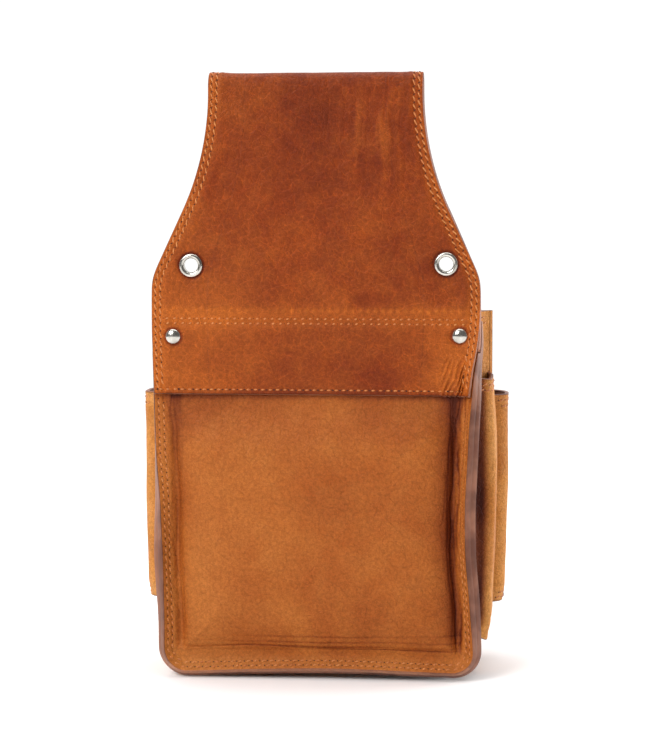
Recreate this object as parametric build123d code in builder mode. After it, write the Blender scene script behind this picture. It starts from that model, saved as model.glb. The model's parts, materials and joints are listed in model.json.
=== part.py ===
"""Electrician's belt pouch in tan leather, with a folded belt tunnel at the neck.

X runs along the belt, Y from the wearer towards the pockets, Z up.
The origin is the middle of the belt tunnel.
"""

from build123d import *
from math import cos, radians, sin, tan
import os

os.makedirs("parts", exist_ok=True)

# --- Driving dimensions, in millimetres. Heights are above the base edge of the back. -----------

leather = 2.5  # neck, back, gusset and front panel
thin_leather = 2.0  # pockets and tool loops
lining = 1.5  # strips that stiffen the neck's edges
slack = 0.25  # between leathers that lie on each other

# Outline of the back.
neck_height = 304.0
neck_half = 53.8
neck_straight = 9.0
neck_arc_radius = 142.0
neck_lean = 25.0  # degrees from upright, where the neck widens
body_half = 82.8
shoulder_radius = 12.0
corner_radius = 14.0

# Belt tunnel.
belt_height = 264.0
belt_gap = 9.0
tunnel_narrows = 236.0
tunnel_floor = 215.2
strip_width = 7.0
strip_base = 220.0

# Levels down the back.
flex_height = 194.0  # the neck bends here
flex_gap = 3.0
mouth_height = 183.0
tunnel_rows = (181.3, 178.9)
leaf_end = 165.0
lap_row = 145.6
lap_edge = 143.5

# Depths.
back_face = -belt_gap / 2 - leather
back_inside = -belt_gap / 2
inner_rear = back_inside + slack
inner_front = inner_rear + leather
rim_rear = -12.5  # where the turned-back rim ends
rim_slope = 0.4  # how far the rim leans out for its depth
gusset_rear = inner_front + slack
gusset_bend = 33.0
gusset_front = 43.75
front_face = gusset_front + slack + leather

# Main compartment.
gusset_bend_half = 80.0
gusset_front_half = 88.0
gusset_front_base = 1.0
gusset_flange = 12.0
flange_width = 6.0

# Second compartment.
pocket_rear = front_face + 0.5
pocket_front = 80.5
pocket_half = 95.5
pocket_top = 139.0
pocket_base = 30.5
pocket_flange = 24.0
pocket_front_radius = 16.0
pocket_rear_radius = 7.0

# Tool loops on the second compartment.
loop_count = 5
loop_pitch = 29.0
loop_outer = 12.0
loop_top = 116.0
loop_base = 54.0
loop_strip = 158.0

# Pliers pocket on the gusset's right side.
side_top = 152.0
side_base = 16.0
side_rear_edge = (80.3, 8.5)
side_crown = (90.4, 25.0)
side_front_edge = (87.8, 41.0)
side_corner = (81.1, 32.4)

# Seams, as raised rows of thread.
row_width = 0.9
row_height = 0.4
edge_rows = (2.1, 4.7)
hem_rows = (3.0, 6.0)

# Hardware.
# Each eyelet and rivet sits where the photograph shows it: x and level.
eyelet_places = {"left": (-62.5, 207.8), "right": (65.3, 209.0)}
eyelet_hole = 3.5
eyelet_barrel = 4.0
eyelet_flange = 6.0
eyelet_rim = 0.8
rivet_places = {"left": (-71.7, 172.1), "right": (72.3, 173.2)}
rivet_cap = 4.0
rivet_dome = 1.8
rivet_post = 1.5
rivet_washer = 3.2
loop_rivet_cap = 2.9
loop_rivet_x = 76.0
loop_rivet_heights = (62.0, 108.0)


def level(height):
    """Z of a height above the base edge."""
    return height - belt_height


def keep(piece, name):
    """Labels a finished piece and writes it."""
    piece.label = name
    export_step(piece, f"parts/{name}.step")


def facing_wearer(depth):
    """The upright plane at a depth, which extrudes towards the wearer."""
    return Plane.XZ.offset(-depth)


def pouch_round(half, base, radius):
    """Draws the rounded section of a pouch, whose upper end lies above every mouth."""
    top = level(neck_height)
    with Locations((0, (top + level(base)) / 2)):
        RectangleRounded(2 * half, top - level(base), radius)


def rim_section(depth, inset):
    """Half width, base and radius of the leaning rim, a distance inside its outer face."""
    lean = rim_slope * (depth - rim_rear)
    return body_half - lean - inset, lean + inset, corner_radius - inset


# --- Outline of the back, seen from the wearer ---------------------------------------------------

lean_angle = radians(neck_lean)
lean_x = neck_half + neck_arc_radius * (1 - cos(lean_angle))
lean_z = level(neck_height - neck_straight) - neck_arc_radius * sin(lean_angle)
shoulder_z = lean_z - (body_half - lean_x) / tan(lean_angle)

with BuildSketch() as back_outline:
    with BuildLine():
        neck_top = Line((0, level(neck_height)), (neck_half, level(neck_height)))
        neck_side = Line(neck_top @ 1, (neck_half, level(neck_height - neck_straight)))
        neck_curve = JernArc(neck_side @ 1, (0, -1), neck_arc_radius, neck_lean)
        shoulder = Line(neck_curve @ 1, (body_half, shoulder_z))
        body_side = Line(shoulder @ 1, (body_half, level(0)))
        Line(body_side @ 1, (0, level(0)))
        mirror(about=Plane.YZ)
    make_face()
    corners = back_outline.vertices().filter_by(lambda v: abs(v.X) > body_half - 0.01)
    fillet(corners.group_by(Axis.Y)[0], corner_radius)
    shoulders = back_outline.vertices().filter_by(lambda v: abs(v.X) > body_half - 0.01)
    fillet(shoulders.group_by(Axis.Y)[-1], shoulder_radius)

flex_top = level(flex_height + flex_gap / 2)
flex_bottom = level(flex_height - flex_gap / 2)
sides = {"left": -1, "right": 1}

# --- The neck: one leather, folded over the belt -------------------------------------------------

fold_z = level(neck_height) + back_face
with BuildPart() as neck_leather:
    with BuildSketch(Plane.YZ):
        with BuildLine():
            Polyline((back_inside, flex_top), (back_face, flex_top), (back_face, fold_z))
            ThreePointArc((back_face, fold_z), (0, fold_z - back_face), (-back_face, fold_z))
            Polyline(
                (-back_face, fold_z),
                (-back_face, level(tunnel_narrows)),
                (inner_front, level(tunnel_floor)),
                (inner_front, flex_top),
                (inner_rear, flex_top),
                (inner_rear, level(tunnel_floor)),
                (-back_inside, level(tunnel_narrows) + leather / 4),
                (-back_inside, fold_z),
            )
            ThreePointArc(
                (-back_inside, fold_z), (0, fold_z - back_inside), (back_inside, fold_z)
            )
            Line((back_inside, fold_z), (back_inside, flex_top))
        make_face()
    extrude(amount=body_half, both=True)
    with BuildSketch(Plane.XZ):
        add(back_outline.sketch)
    extrude(amount=-2 * back_face, both=True, mode=Mode.INTERSECT)
    with BuildSketch(facing_wearer(inner_front)):
        with Locations(*[(x, level(h)) for x, h in eyelet_places.values()]):
            Circle(eyelet_barrel + 0.05)
    extrude(amount=inner_front - back_face, mode=Mode.SUBTRACT)
keep(neck_leather.part, "neck_leather")

# --- Strips that stiffen the neck's edges inside the tunnel ---------------------------------------

for side, s in sides.items():
    with BuildPart() as edge_strip:
        with BuildSketch(facing_wearer(back_inside + lining)):
            offset(back_outline.sketch, amount=-slack)
            offset(back_outline.sketch, amount=-slack - strip_width, mode=Mode.SUBTRACT)
            strip_end = fold_z - strip_width
            with Locations((s * body_half, (strip_end + level(strip_base)) / 2)):
                Rectangle(2 * body_half, strip_end - level(strip_base), mode=Mode.INTERSECT)
        extrude(amount=lining)
    keep(edge_strip.part, f"neck_edge_strip_{side}")

# --- Eyelets through both leaves of the neck -------------------------------------------------------

for side in sides:
    with BuildPart() as eyelet:
        x, h = eyelet_places[side]
        spot = Location((x, level(h)))
        with BuildSketch(facing_wearer(inner_front)):
            with Locations(spot):
                Circle(eyelet_barrel)
        extrude(amount=inner_front - back_face)
        with BuildSketch(facing_wearer(back_face)):
            with Locations(spot):
                Circle(eyelet_flange)
        extrude(amount=eyelet_rim)
        with BuildSketch(facing_wearer(inner_front + eyelet_rim)):
            with Locations(spot):
                Circle(eyelet_flange)
        extrude(amount=eyelet_rim)
        rims = eyelet.edges().filter_by(GeomType.CIRCLE)
        outer_rims = rims.filter_by(lambda e: e.radius > eyelet_flange - 0.01).sort_by(Axis.Y)
        fillet([outer_rims[0], outer_rims[-1]], 0.6)
        with BuildSketch(facing_wearer(inner_front + 2 * eyelet_rim)):
            with Locations(spot):
                Circle(eyelet_hole)
        extrude(amount=inner_front - back_face + 4 * eyelet_rim, mode=Mode.SUBTRACT)
    keep(eyelet.part, f"eyelet_{side}")

# --- The same leather below the bend: the back's yoke, and the end of the tunnel's inner leaf ------

rivet_spots = [(x, level(h)) for x, h in rivet_places.values()]

with BuildPart() as back_yoke:
    with BuildSketch(facing_wearer(back_inside)):
        add(back_outline.sketch)
        with Locations((0, (flex_bottom + level(lap_edge)) / 2)):
            Rectangle(4 * body_half, flex_bottom - level(lap_edge), mode=Mode.INTERSECT)
        with Locations(*rivet_spots):
            Circle(rivet_post + 0.05, mode=Mode.SUBTRACT)
    extrude(amount=leather)
keep(back_yoke.part, "back_yoke")

with BuildPart() as tunnel_leaf:
    with BuildSketch(facing_wearer(inner_front)):
        add(back_outline.sketch)
        with Locations((0, (flex_bottom + level(leaf_end)) / 2)):
            Rectangle(4 * body_half, flex_bottom - level(leaf_end), mode=Mode.INTERSECT)
        with Locations(*rivet_spots):
            Circle(rivet_post + 0.05, mode=Mode.SUBTRACT)
    extrude(amount=leather)
keep(tunnel_leaf.part, "tunnel_leaf_end")

for side in sides:
    with BuildPart() as rivet:
        x, h = rivet_places[side]
        spot = Location((x, level(h)))
        with BuildSketch(facing_wearer(back_face)):
            with Locations(spot):
                Circle(rivet_cap)
        extrude(amount=rivet_dome)
        fillet(rivet.edges().group_by(Axis.Y)[0], rivet_dome * 0.8)
        with BuildSketch(facing_wearer(inner_front)):
            with Locations(spot):
                Circle(rivet_post)
        extrude(amount=inner_front - back_face)
        with BuildSketch(facing_wearer(inner_front + eyelet_rim)):
            with Locations(spot):
                Circle(rivet_washer)
        extrude(amount=eyelet_rim)
    keep(rivet.part, f"back_rivet_{side}")

# --- The back's lower panel, lapped under the yoke, with its rim turned towards the wearer ---------

below_lap = Plane.XY.offset(level(lap_edge) - slack)
shell = leather + slack

with BuildPart() as back_panel:
    for depth in (rim_rear, inner_front):
        with BuildSketch(facing_wearer(depth)):
            pouch_round(*rim_section(depth, shell))
    loft()
    for depth in (rim_rear, inner_rear):
        with BuildSketch(facing_wearer(depth)):
            pouch_round(*rim_section(depth, shell + leather))
    loft(mode=Mode.SUBTRACT)
    split(bisect_by=below_lap, keep=Keep.BOTTOM)
    with BuildSketch(facing_wearer(inner_front)):
        lap_bottom = level(lap_edge) - slack
        lap_top = level(leaf_end) - slack
        with Locations((0, (lap_top + lap_bottom) / 2)):
            Rectangle(2 * body_half, lap_top - lap_bottom)
    extrude(amount=leather)
keep(back_panel.part, "back_panel")

# --- The gusset: sides and base in one strip, turned inwards at the front to be sewn ---------------

gusset_sections = [
    (rim_rear, *rim_section(rim_rear, 0)),
    (gusset_rear, *rim_section(gusset_rear, 0)),
    (gusset_bend, gusset_bend_half, rim_slope * (gusset_rear - rim_rear), corner_radius),
    (gusset_front, gusset_front_half, gusset_front_base, corner_radius),
]
with BuildPart() as gusset:
    for depth, half, base, radius in gusset_sections:
        with BuildSketch(facing_wearer(depth)):
            pouch_round(half, base, radius)
    loft(ruled=True)
    for depth, half, base, radius in gusset_sections:
        with BuildSketch(facing_wearer(depth)):
            pouch_round(half - leather, base + leather, radius - leather)
    loft(ruled=True, mode=Mode.SUBTRACT)
    with BuildSketch(facing_wearer(gusset_front)):
        pouch_round(gusset_front_half - leather / 2, gusset_front_base + leather / 2, corner_radius)
    extrude(amount=leather)
    with BuildSketch(facing_wearer(gusset_front)):
        inset = gusset_flange
        pouch_round(gusset_front_half - inset, gusset_front_base + inset, corner_radius - leather)
    extrude(amount=leather, mode=Mode.SUBTRACT)
    with BuildSketch(facing_wearer(gusset_rear)):
        with Locations((0, level(neck_height))):
            Rectangle(4 * body_half, 2 * (neck_height - lap_edge + slack))
    extrude(amount=gusset_rear - rim_rear, mode=Mode.SUBTRACT)
    with BuildSketch(facing_wearer(gusset_rear + leather)):
        upper_flange = mouth_height - lap_edge
        middle_height = level(lap_edge + upper_flange / 2)
        with Locations(*[(s * (body_half - flange_width / 2), middle_height) for s in sides.values()]):
            Rectangle(flange_width, upper_flange)
    extrude(amount=leather)
    split(bisect_by=Plane.XY.offset(level(mouth_height)), keep=Keep.BOTTOM)
keep(gusset.part, "gusset")

# --- The front panel --------------------------------------------------------------------------------

with BuildPart() as front_panel:
    with BuildSketch(facing_wearer(front_face)):
        pouch_round(gusset_front_half, gusset_front_base, corner_radius)
    extrude(amount=leather)
    split(bisect_by=Plane.XY.offset(level(mouth_height)), keep=Keep.BOTTOM)
keep(front_panel.part, "front_panel")

# --- The second compartment: one leather round three sides, and its base ----------------------------

middle = thin_leather / 2
pocket_height = pocket_top - pocket_base
with BuildPart() as front_pocket:
    with BuildSketch(Plane.XY.offset(level(pocket_base))):
        with BuildLine():
            corner_x = pocket_half - middle
            FilletPolyline(
                (corner_x - pocket_flange, pocket_rear + middle),
                (corner_x, pocket_rear + middle),
                (corner_x, pocket_front - middle),
                (-corner_x, pocket_front - middle),
                (-corner_x, pocket_rear + middle),
                (pocket_flange - corner_x, pocket_rear + middle),
                radius=[
                    pocket_rear_radius,
                    pocket_front_radius,
                    pocket_front_radius,
                    pocket_rear_radius,
                ],
            )
        trace(line_width=thin_leather)
    extrude(amount=pocket_height)
keep(front_pocket.part, "front_pocket")

with BuildPart() as front_pocket_base:
    with BuildSketch(Plane.XY.offset(level(pocket_base))):
        inside = thin_leather + slack
        base_depth = pocket_front - pocket_rear - 2 * inside
        with Locations((0, (pocket_front + pocket_rear) / 2)):
            RectangleRounded(2 * (pocket_half - inside), base_depth, base_depth / 2 - 0.1)
    extrude(amount=leather)
keep(front_pocket_base.part, "front_pocket_base")

# --- Tool loops: one strip sewn down between its loops ----------------------------------------------

loop_face = pocket_front + slack
loop_spots = [(loop_pitch * (i - (loop_count - 1) / 2), loop_face) for i in range(loop_count)]
loop_rivet_spots = [(s * loop_rivet_x, level(h)) for s in sides.values() for h in loop_rivet_heights]
with BuildPart() as tool_loops:
    with BuildSketch(Plane.XY.offset(level(loop_base))):
        with Locations((0, loop_face + middle)):
            Rectangle(loop_strip, thin_leather)
        with Locations(*loop_spots):
            Circle(loop_outer)
            Circle(loop_outer - thin_leather, mode=Mode.SUBTRACT)
        with Locations((0, loop_face - loop_outer)):
            Rectangle(loop_strip, 2 * loop_outer, mode=Mode.SUBTRACT)
    extrude(amount=loop_top - loop_base)
keep(tool_loops.part, "tool_loops")

with BuildPart() as loop_rivets:
    with BuildSketch(facing_wearer(loop_face + thin_leather + rivet_dome)):
        with Locations(*loop_rivet_spots):
            Circle(loop_rivet_cap)
    extrude(amount=rivet_dome)
    fillet(loop_rivets.edges().group_by(Axis.Y)[-1], rivet_dome * 0.8)
keep(loop_rivets.part, "loop_rivets")

# --- Pliers pocket on the gusset's right side --------------------------------------------------------

with BuildPart() as pliers_pocket:
    with BuildSketch(Plane.XY.offset(level(side_base))):
        with BuildLine():
            ThreePointArc(side_rear_edge, side_crown, side_front_edge)
        trace(line_width=thin_leather)
    extrude(amount=side_top - side_base)
    with BuildSketch(Plane.XY.offset(level(side_base))):
        with BuildLine():
            ThreePointArc(side_rear_edge, side_crown, side_front_edge)
            Polyline(side_front_edge, side_corner, side_rear_edge)
        make_face()
    extrude(amount=thin_leather)
keep(pliers_pocket.part, "pliers_pocket")

# --- Seams ------------------------------------------------------------------------------------------


def keep_band(low, high, s):
    """Cuts the active sketch to one side and between two heights."""
    with Locations((s * 2 * body_half, (low + high) / 2)):
        Rectangle(4 * body_half, high - low, mode=Mode.INTERSECT)


neck_band = (flex_top, fold_z - edge_rows[1])
yoke_band = (level(lap_edge) + slack, flex_bottom)
for name, band in {"neck_edge_stitching": neck_band, "yoke_edge_stitching": yoke_band}.items():
    for side, s in sides.items():
        with BuildPart() as stitching:
            for row in edge_rows:
                with BuildSketch(facing_wearer(back_face)):
                    offset(back_outline.sketch, amount=-(row - row_width / 2))
                    offset(back_outline.sketch, amount=-(row + row_width / 2), mode=Mode.SUBTRACT)
                    keep_band(*band, s)
                extrude(amount=row_height)
        keep(stitching.part, f"{name}_{side}")

row_reach = body_half - edge_rows[1] - 2 * row_width
with BuildPart() as tunnel_stitching:
    with BuildSketch(facing_wearer(back_face)):
        with Locations(*[(0, level(row)) for row in tunnel_rows]):
            Rectangle(2 * row_reach, row_width)
    extrude(amount=row_height)
keep(tunnel_stitching.part, "tunnel_stitching")

with BuildPart() as lap_stitching:
    with BuildSketch(facing_wearer(back_face)):
        with Locations((0, level(lap_row))):
            Rectangle(2 * row_reach, row_width)
    extrude(amount=row_height)
keep(lap_stitching.part, "lap_stitching")

with BuildPart() as rim_stitching:
    for row in edge_rows:
        row_edges = (rim_rear + row - row_width / 2, rim_rear + row + row_width / 2)
        for depth in row_edges:
            with BuildSketch(facing_wearer(depth)):
                pouch_round(*rim_section(depth, shell + leather))
        loft()
        for depth in row_edges:
            with BuildSketch(facing_wearer(depth)):
                pouch_round(*rim_section(depth, shell + leather + row_height))
        loft(mode=Mode.SUBTRACT)
    split(bisect_by=below_lap, keep=Keep.BOTTOM)
keep(rim_stitching.part, "rim_stitching")

with BuildPart() as front_stitching:
    for row in edge_rows:
        for edge, mode in ((row - row_width / 2, Mode.ADD), (row + row_width / 2, Mode.SUBTRACT)):
            with BuildSketch(facing_wearer(front_face + row_height)):
                pouch_round(gusset_front_half - edge, gusset_front_base + edge, corner_radius - edge)
            extrude(amount=row_height, mode=mode)
    below_hem = level(mouth_height) - hem_rows[1] - row_width
    split(bisect_by=Plane.XY.offset(below_hem), keep=Keep.BOTTOM)
keep(front_stitching.part, "front_edge_stitching")

with BuildPart() as mouth_hem:
    with BuildSketch(facing_wearer(front_face + row_height)):
        with Locations(*[(0, level(mouth_height - row)) for row in hem_rows]):
            Rectangle(2 * (gusset_front_half - edge_rows[0]), row_width)
    extrude(amount=row_height)
keep(mouth_hem.part, "mouth_hem_stitching")

with BuildPart() as pocket_hem:
    with BuildSketch(facing_wearer(pocket_front + row_height)):
        with Locations(*[(0, level(pocket_top - row)) for row in hem_rows]):
            Rectangle(2 * (pocket_half - pocket_front_radius), row_width)
    extrude(amount=row_height)
keep(pocket_hem.part, "pocket_hem_stitching")

with BuildPart() as loop_stitching:
    with BuildSketch(facing_wearer(loop_face + thin_leather + row_height)):
        between = [loop_pitch * (i - loop_count / 2) for i in range(loop_count + 1)]
        with Locations(*[(x, level((loop_top + loop_base) / 2)) for x in between]):
            Rectangle(row_width, loop_top - loop_base - 2 * edge_rows[0])
    extrude(amount=row_height)
keep(loop_stitching.part, "loop_stitching")
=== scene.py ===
"""The looks of the electrician's belt pouch, in leather, thread and nickel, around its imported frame.

Shapes are in millimetres, as x, y and a height above the back's base edge. Each leather is a formula
for its grain face; to_row() turns such points into metres in the row's frame.
"""

import json
from math import cos, pi, radians, sin, tan

import bmesh
import bpy
import numpy as np
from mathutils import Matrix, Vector


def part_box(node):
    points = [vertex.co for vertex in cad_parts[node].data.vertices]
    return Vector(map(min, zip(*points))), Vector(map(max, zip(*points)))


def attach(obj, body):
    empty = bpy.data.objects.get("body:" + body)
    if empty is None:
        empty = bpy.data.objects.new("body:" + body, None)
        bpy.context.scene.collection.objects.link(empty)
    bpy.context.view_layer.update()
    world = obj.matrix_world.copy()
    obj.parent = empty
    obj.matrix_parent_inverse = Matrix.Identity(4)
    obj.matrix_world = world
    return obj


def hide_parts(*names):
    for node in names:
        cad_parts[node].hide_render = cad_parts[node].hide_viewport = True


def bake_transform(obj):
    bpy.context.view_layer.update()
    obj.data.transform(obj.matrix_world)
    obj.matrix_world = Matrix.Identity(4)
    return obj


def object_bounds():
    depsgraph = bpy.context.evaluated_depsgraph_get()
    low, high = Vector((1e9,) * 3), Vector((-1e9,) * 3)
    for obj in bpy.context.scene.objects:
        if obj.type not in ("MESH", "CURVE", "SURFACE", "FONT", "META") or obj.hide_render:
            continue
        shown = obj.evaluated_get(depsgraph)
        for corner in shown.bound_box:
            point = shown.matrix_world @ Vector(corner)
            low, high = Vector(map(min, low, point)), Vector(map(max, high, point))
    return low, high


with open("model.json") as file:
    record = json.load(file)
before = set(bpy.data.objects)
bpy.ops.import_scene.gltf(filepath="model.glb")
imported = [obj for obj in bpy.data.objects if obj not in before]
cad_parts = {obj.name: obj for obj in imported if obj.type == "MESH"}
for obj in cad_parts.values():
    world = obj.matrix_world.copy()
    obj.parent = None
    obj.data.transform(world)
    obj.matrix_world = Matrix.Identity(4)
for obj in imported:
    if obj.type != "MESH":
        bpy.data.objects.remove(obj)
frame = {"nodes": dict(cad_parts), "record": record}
cad_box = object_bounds()

# --- Places and sizes, from the frame ---

BASE_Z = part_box("gusset")[0].z
SIDES = {"left": -1, "right": 1}
LOW, HIGH = {}, {}
for node in frame["nodes"]:
    LOW[node], HIGH[node] = [np.array(c - Vector((0, 0, BASE_Z))) * 1000 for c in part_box(node)]


def disc(node):
    """A round piece's middle, as x and height, and its radius."""
    low, high = LOW[node], HIGH[node]
    x, _, h = (low + high) / 2
    return x, h, (high[0] - low[0]) / 2


LEATHER = 2.5
THIN = 2.0
BACK = LOW["back_yoke"][1]
HALF = HIGH["back_yoke"][0]
TOP = HIGH["neck_leather"][2]
LAP = LOW["back_yoke"][2]
LEAF_END = LOW["tunnel_leaf_end"][2]
LEAF_FACE = HIGH["tunnel_leaf_end"][1]
MOUTH = HIGH["gusset"][2]
FOLD = -BACK
PANEL_FACE = BACK + LEATHER

# Rows of stitches: their distances from a cut edge or a hem's edge, and across the back.
ROWS = (2.2, 4.7)
HEM_ROWS = (3.0, 6.0)
THREAD_HALF = 0.45
TUNNEL_LOW = LOW["tunnel_stitching"][2]
TUNNEL_ROWS = (TUNNEL_LOW + THREAD_HALF, HIGH["tunnel_stitching"][2] - THREAD_HALF)
LAP_ROW = LOW["lap_stitching"][2] + THREAD_HALF
PRINT_HEIGHT = 185.4
FITTINGS = [disc(f"{kind}_{side}") for kind in ("eyelet", "back_rivet") for side in SIDES]

# The neck's outline: straight at the fold, a hollow arc, then straight out to the shoulder.
NECK_HALF = 53.8
NECK_STRAIGHT = 9.0
NECK_ARC = 142.0
NECK_LEAN = radians(25)
SHOULDER = 1.1
TUNNEL_NARROWS = 236.0
TUNNEL_FLOOR = 215.2

# The rim that is sewn with its edges towards the wearer. Its turn in degrees, and how far the seam
# has drawn the side in, are judged at a few heights on each side (-1 left, 1 right): (height, value).
RIM_LENGTH = 9.0
RIM_BEND = 4.0
RIM_PLIES = 6.2
RIM_SWELL = 0.75
ROOT = HALF - RIM_LENGTH
ROOT_BASE = 11.0
ROOT_CORNER = 3.5
RIM_TOP = 196.0
BASE_TURN = radians(30)
RIM_TURN = {
    1: ((0, 36), (16, 40), (35, 54), (60, 57), (95, 57), (130, 54), (146, 42), (158, 28), (168, 17),
        (177, 9), (188, 0)),
    -1: ((0, 34), (30, 37), (60, 54), (90, 30), (115, 10), (145, 4), (188, 0)),
}
RIM_PULL = {
    1: ((0, 1.4), (16, 1.5), (40, 2.2), (62, 4.2), (85, 4.6), (112, 3.4), (142, 2.2), (157, 2.0),
        (168, 0.4), (178, 0)),
    -1: ((0, 4.8), (30, 4.8), (60, 3.2), (90, 3.3), (115, 1.7), (145, 0.9), (175, 0)),
}


# --- Small maths ---


def smooth(edge0, edge1, x):
    """0 at edge0, 1 at edge1, with no kink."""
    t = np.clip((np.asarray(x, float) - edge0) / (edge1 - edge0), 0, 1)
    return t * t * (3 - 2 * t)


def bump(x, centre, width):
    """A rounded bump of height 1."""
    return np.exp(-(((x - centre) / width) ** 2))


def dents(distance, rows, depth):
    """How deep the rows of stitches, at these distances from an edge, pull the leather in."""
    return depth * sum(bump(distance, row, 0.8) for row in rows)


def noise(x, y, seed=0):
    """Smooth value noise from -1 to 1, one cell per unit."""
    xi, yi = np.floor(x), np.floor(y)
    fx, fy = x - xi, y - yi
    fx, fy = fx * fx * (3 - 2 * fx), fy * fy * (3 - 2 * fy)

    def corner(i, j):
        h = np.sin((xi + i) * 127.1 + (yi + j) * 311.7 + seed * 74.7) * 43758.5453
        return 2 * (h - np.floor(h)) - 1

    low = corner(0, 0) * (1 - fx) + corner(1, 0) * fx
    high = corner(0, 1) * (1 - fx) + corner(1, 1) * fx
    return low * (1 - fy) + high * fy


def folds(x, y, seed=0):
    """Two octaves of noise."""
    return noise(x, y, seed) * 0.7 + noise(2.1 * x + 3.3, 2.1 * y + 1.7, seed + 5) * 0.3


def to_row(points):
    """Millimetres and heights above the base edge, to metres in the row's frame."""
    out = np.asarray(points, float) / 1000
    out[..., 2] += BASE_Z
    return out


def stack(x, y, h):
    return np.stack(np.broadcast_arrays(x, y, h), axis=-1)


def unit(v):
    return v / np.maximum(np.linalg.norm(v, axis=-1, keepdims=True), 1e-9)


def grid(a, b):
    return np.meshgrid(a, b, indexing="ij")


def surface_frame(surface, a, b, step=0.25):
    """A point of a surface, at parameters a and b, and the normal there."""
    along = unit(surface(a + step, b) - surface(a - step, b))
    up = unit(surface(a, b + step) - surface(a, b - step))
    return surface(a, b), unit(np.cross(along, up))


def walked(points):
    """How far along a line each of its points lies."""
    return np.concatenate([[0], np.cumsum(np.linalg.norm(np.diff(points, axis=0), axis=1))])


def on_path(path, v):
    """The two coordinates of a path, (walk, points), a distance v along it."""
    walk, points = path
    return [np.interp(v, walk, column) for column in points.T]


def eased(rows, pad, spread=2.0):
    """Rows of values, each blended with its neighbours, with both ends kept."""
    kernel = np.exp(-(np.linspace(-spread, spread, 2 * pad + 1) ** 2))
    padded = np.concatenate([2 * rows[0] - rows[pad:0:-1], rows, 2 * rows[-1] - rows[-2 : -pad - 2 : -1]])
    return np.stack([np.convolve(column, kernel / kernel.sum(), "valid") for column in padded.T], axis=-1)


def smooth_path(points, pad, step=0.5):
    """A rounded path through some corners: its walk, evenly spaced, and its points."""
    points = np.array(points, float)
    walk = walked(points)
    even = np.arange(0, walk[-1], step)
    return even, eased(np.stack(on_path((walk, points), even), axis=-1), pad)


def read_table(table, h, spread):
    """The value of a table of (height, value) at a height, eased over a spread."""
    heights, values = np.array(table, float).T
    return sum(np.interp(h + d, heights, values) for d in (-spread, 0, spread)) / 3


def by_height(table, side, h):
    """A value read off one of the rim's tables."""
    return np.where(np.asarray(side) > 0, read_table(table[1], h, 5), read_table(table[-1], h, 5))


# --- Mesh building ---

# The rounded cut edge, as shares of its roundness and of the leather's thickness.
EDGE_PROFILE = ((0.45, 0.07), (0.85, 0.22), (1.0, 0.5), (0.85, 0.78), (0.45, 0.93))


def mesh_object(name, vertices, faces, materials, face_slots, values=None):
    """A smooth-shaded object from arrays in metres, with float attributes on its points."""
    mesh = bpy.data.meshes.new(name)
    mesh.from_pydata(vertices.tolist(), [], faces)
    for material in materials:
        mesh.materials.append(material)
    mesh.polygons.foreach_set("material_index", np.asarray(face_slots, np.int32))
    mesh.polygons.foreach_set("use_smooth", np.ones(len(faces), bool))
    for key, value in (values or {}).items():
        layer = mesh.attributes.new(key, "FLOAT", "POINT")
        layer.data.foreach_set("value", np.asarray(value, np.float32))
    mesh.update()
    obj = bpy.data.objects.new(name, mesh)
    bpy.context.scene.collection.objects.link(obj)
    return obj


def place(piece, slot, body, *nodes):
    """Says which nodes a piece stands for, and the body it rides on or the bend it crosses; slot, its finish,
    is not used.
    """
    if nodes:
        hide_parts(*nodes)
    if body == "bend":
        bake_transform(piece)
    else:
        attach(piece, body)


def quads(index):
    """The faces between the rows and columns of a grid of point numbers."""
    return np.stack([index[:-1, :-1], index[1:, :-1], index[1:, 1:], index[:-1, 1:]], axis=-1)


def closed(index):
    """Rings of point numbers with each ring's first point again at its end."""
    return np.concatenate([index, index[:, :1]], axis=1)


def tube_faces(rings, sides):
    """The faces of a tube whose points are numbered ring by ring."""
    return quads(closed(np.arange(rings * sides).reshape(rings, sides)).T).reshape(-1, 4)


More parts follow.
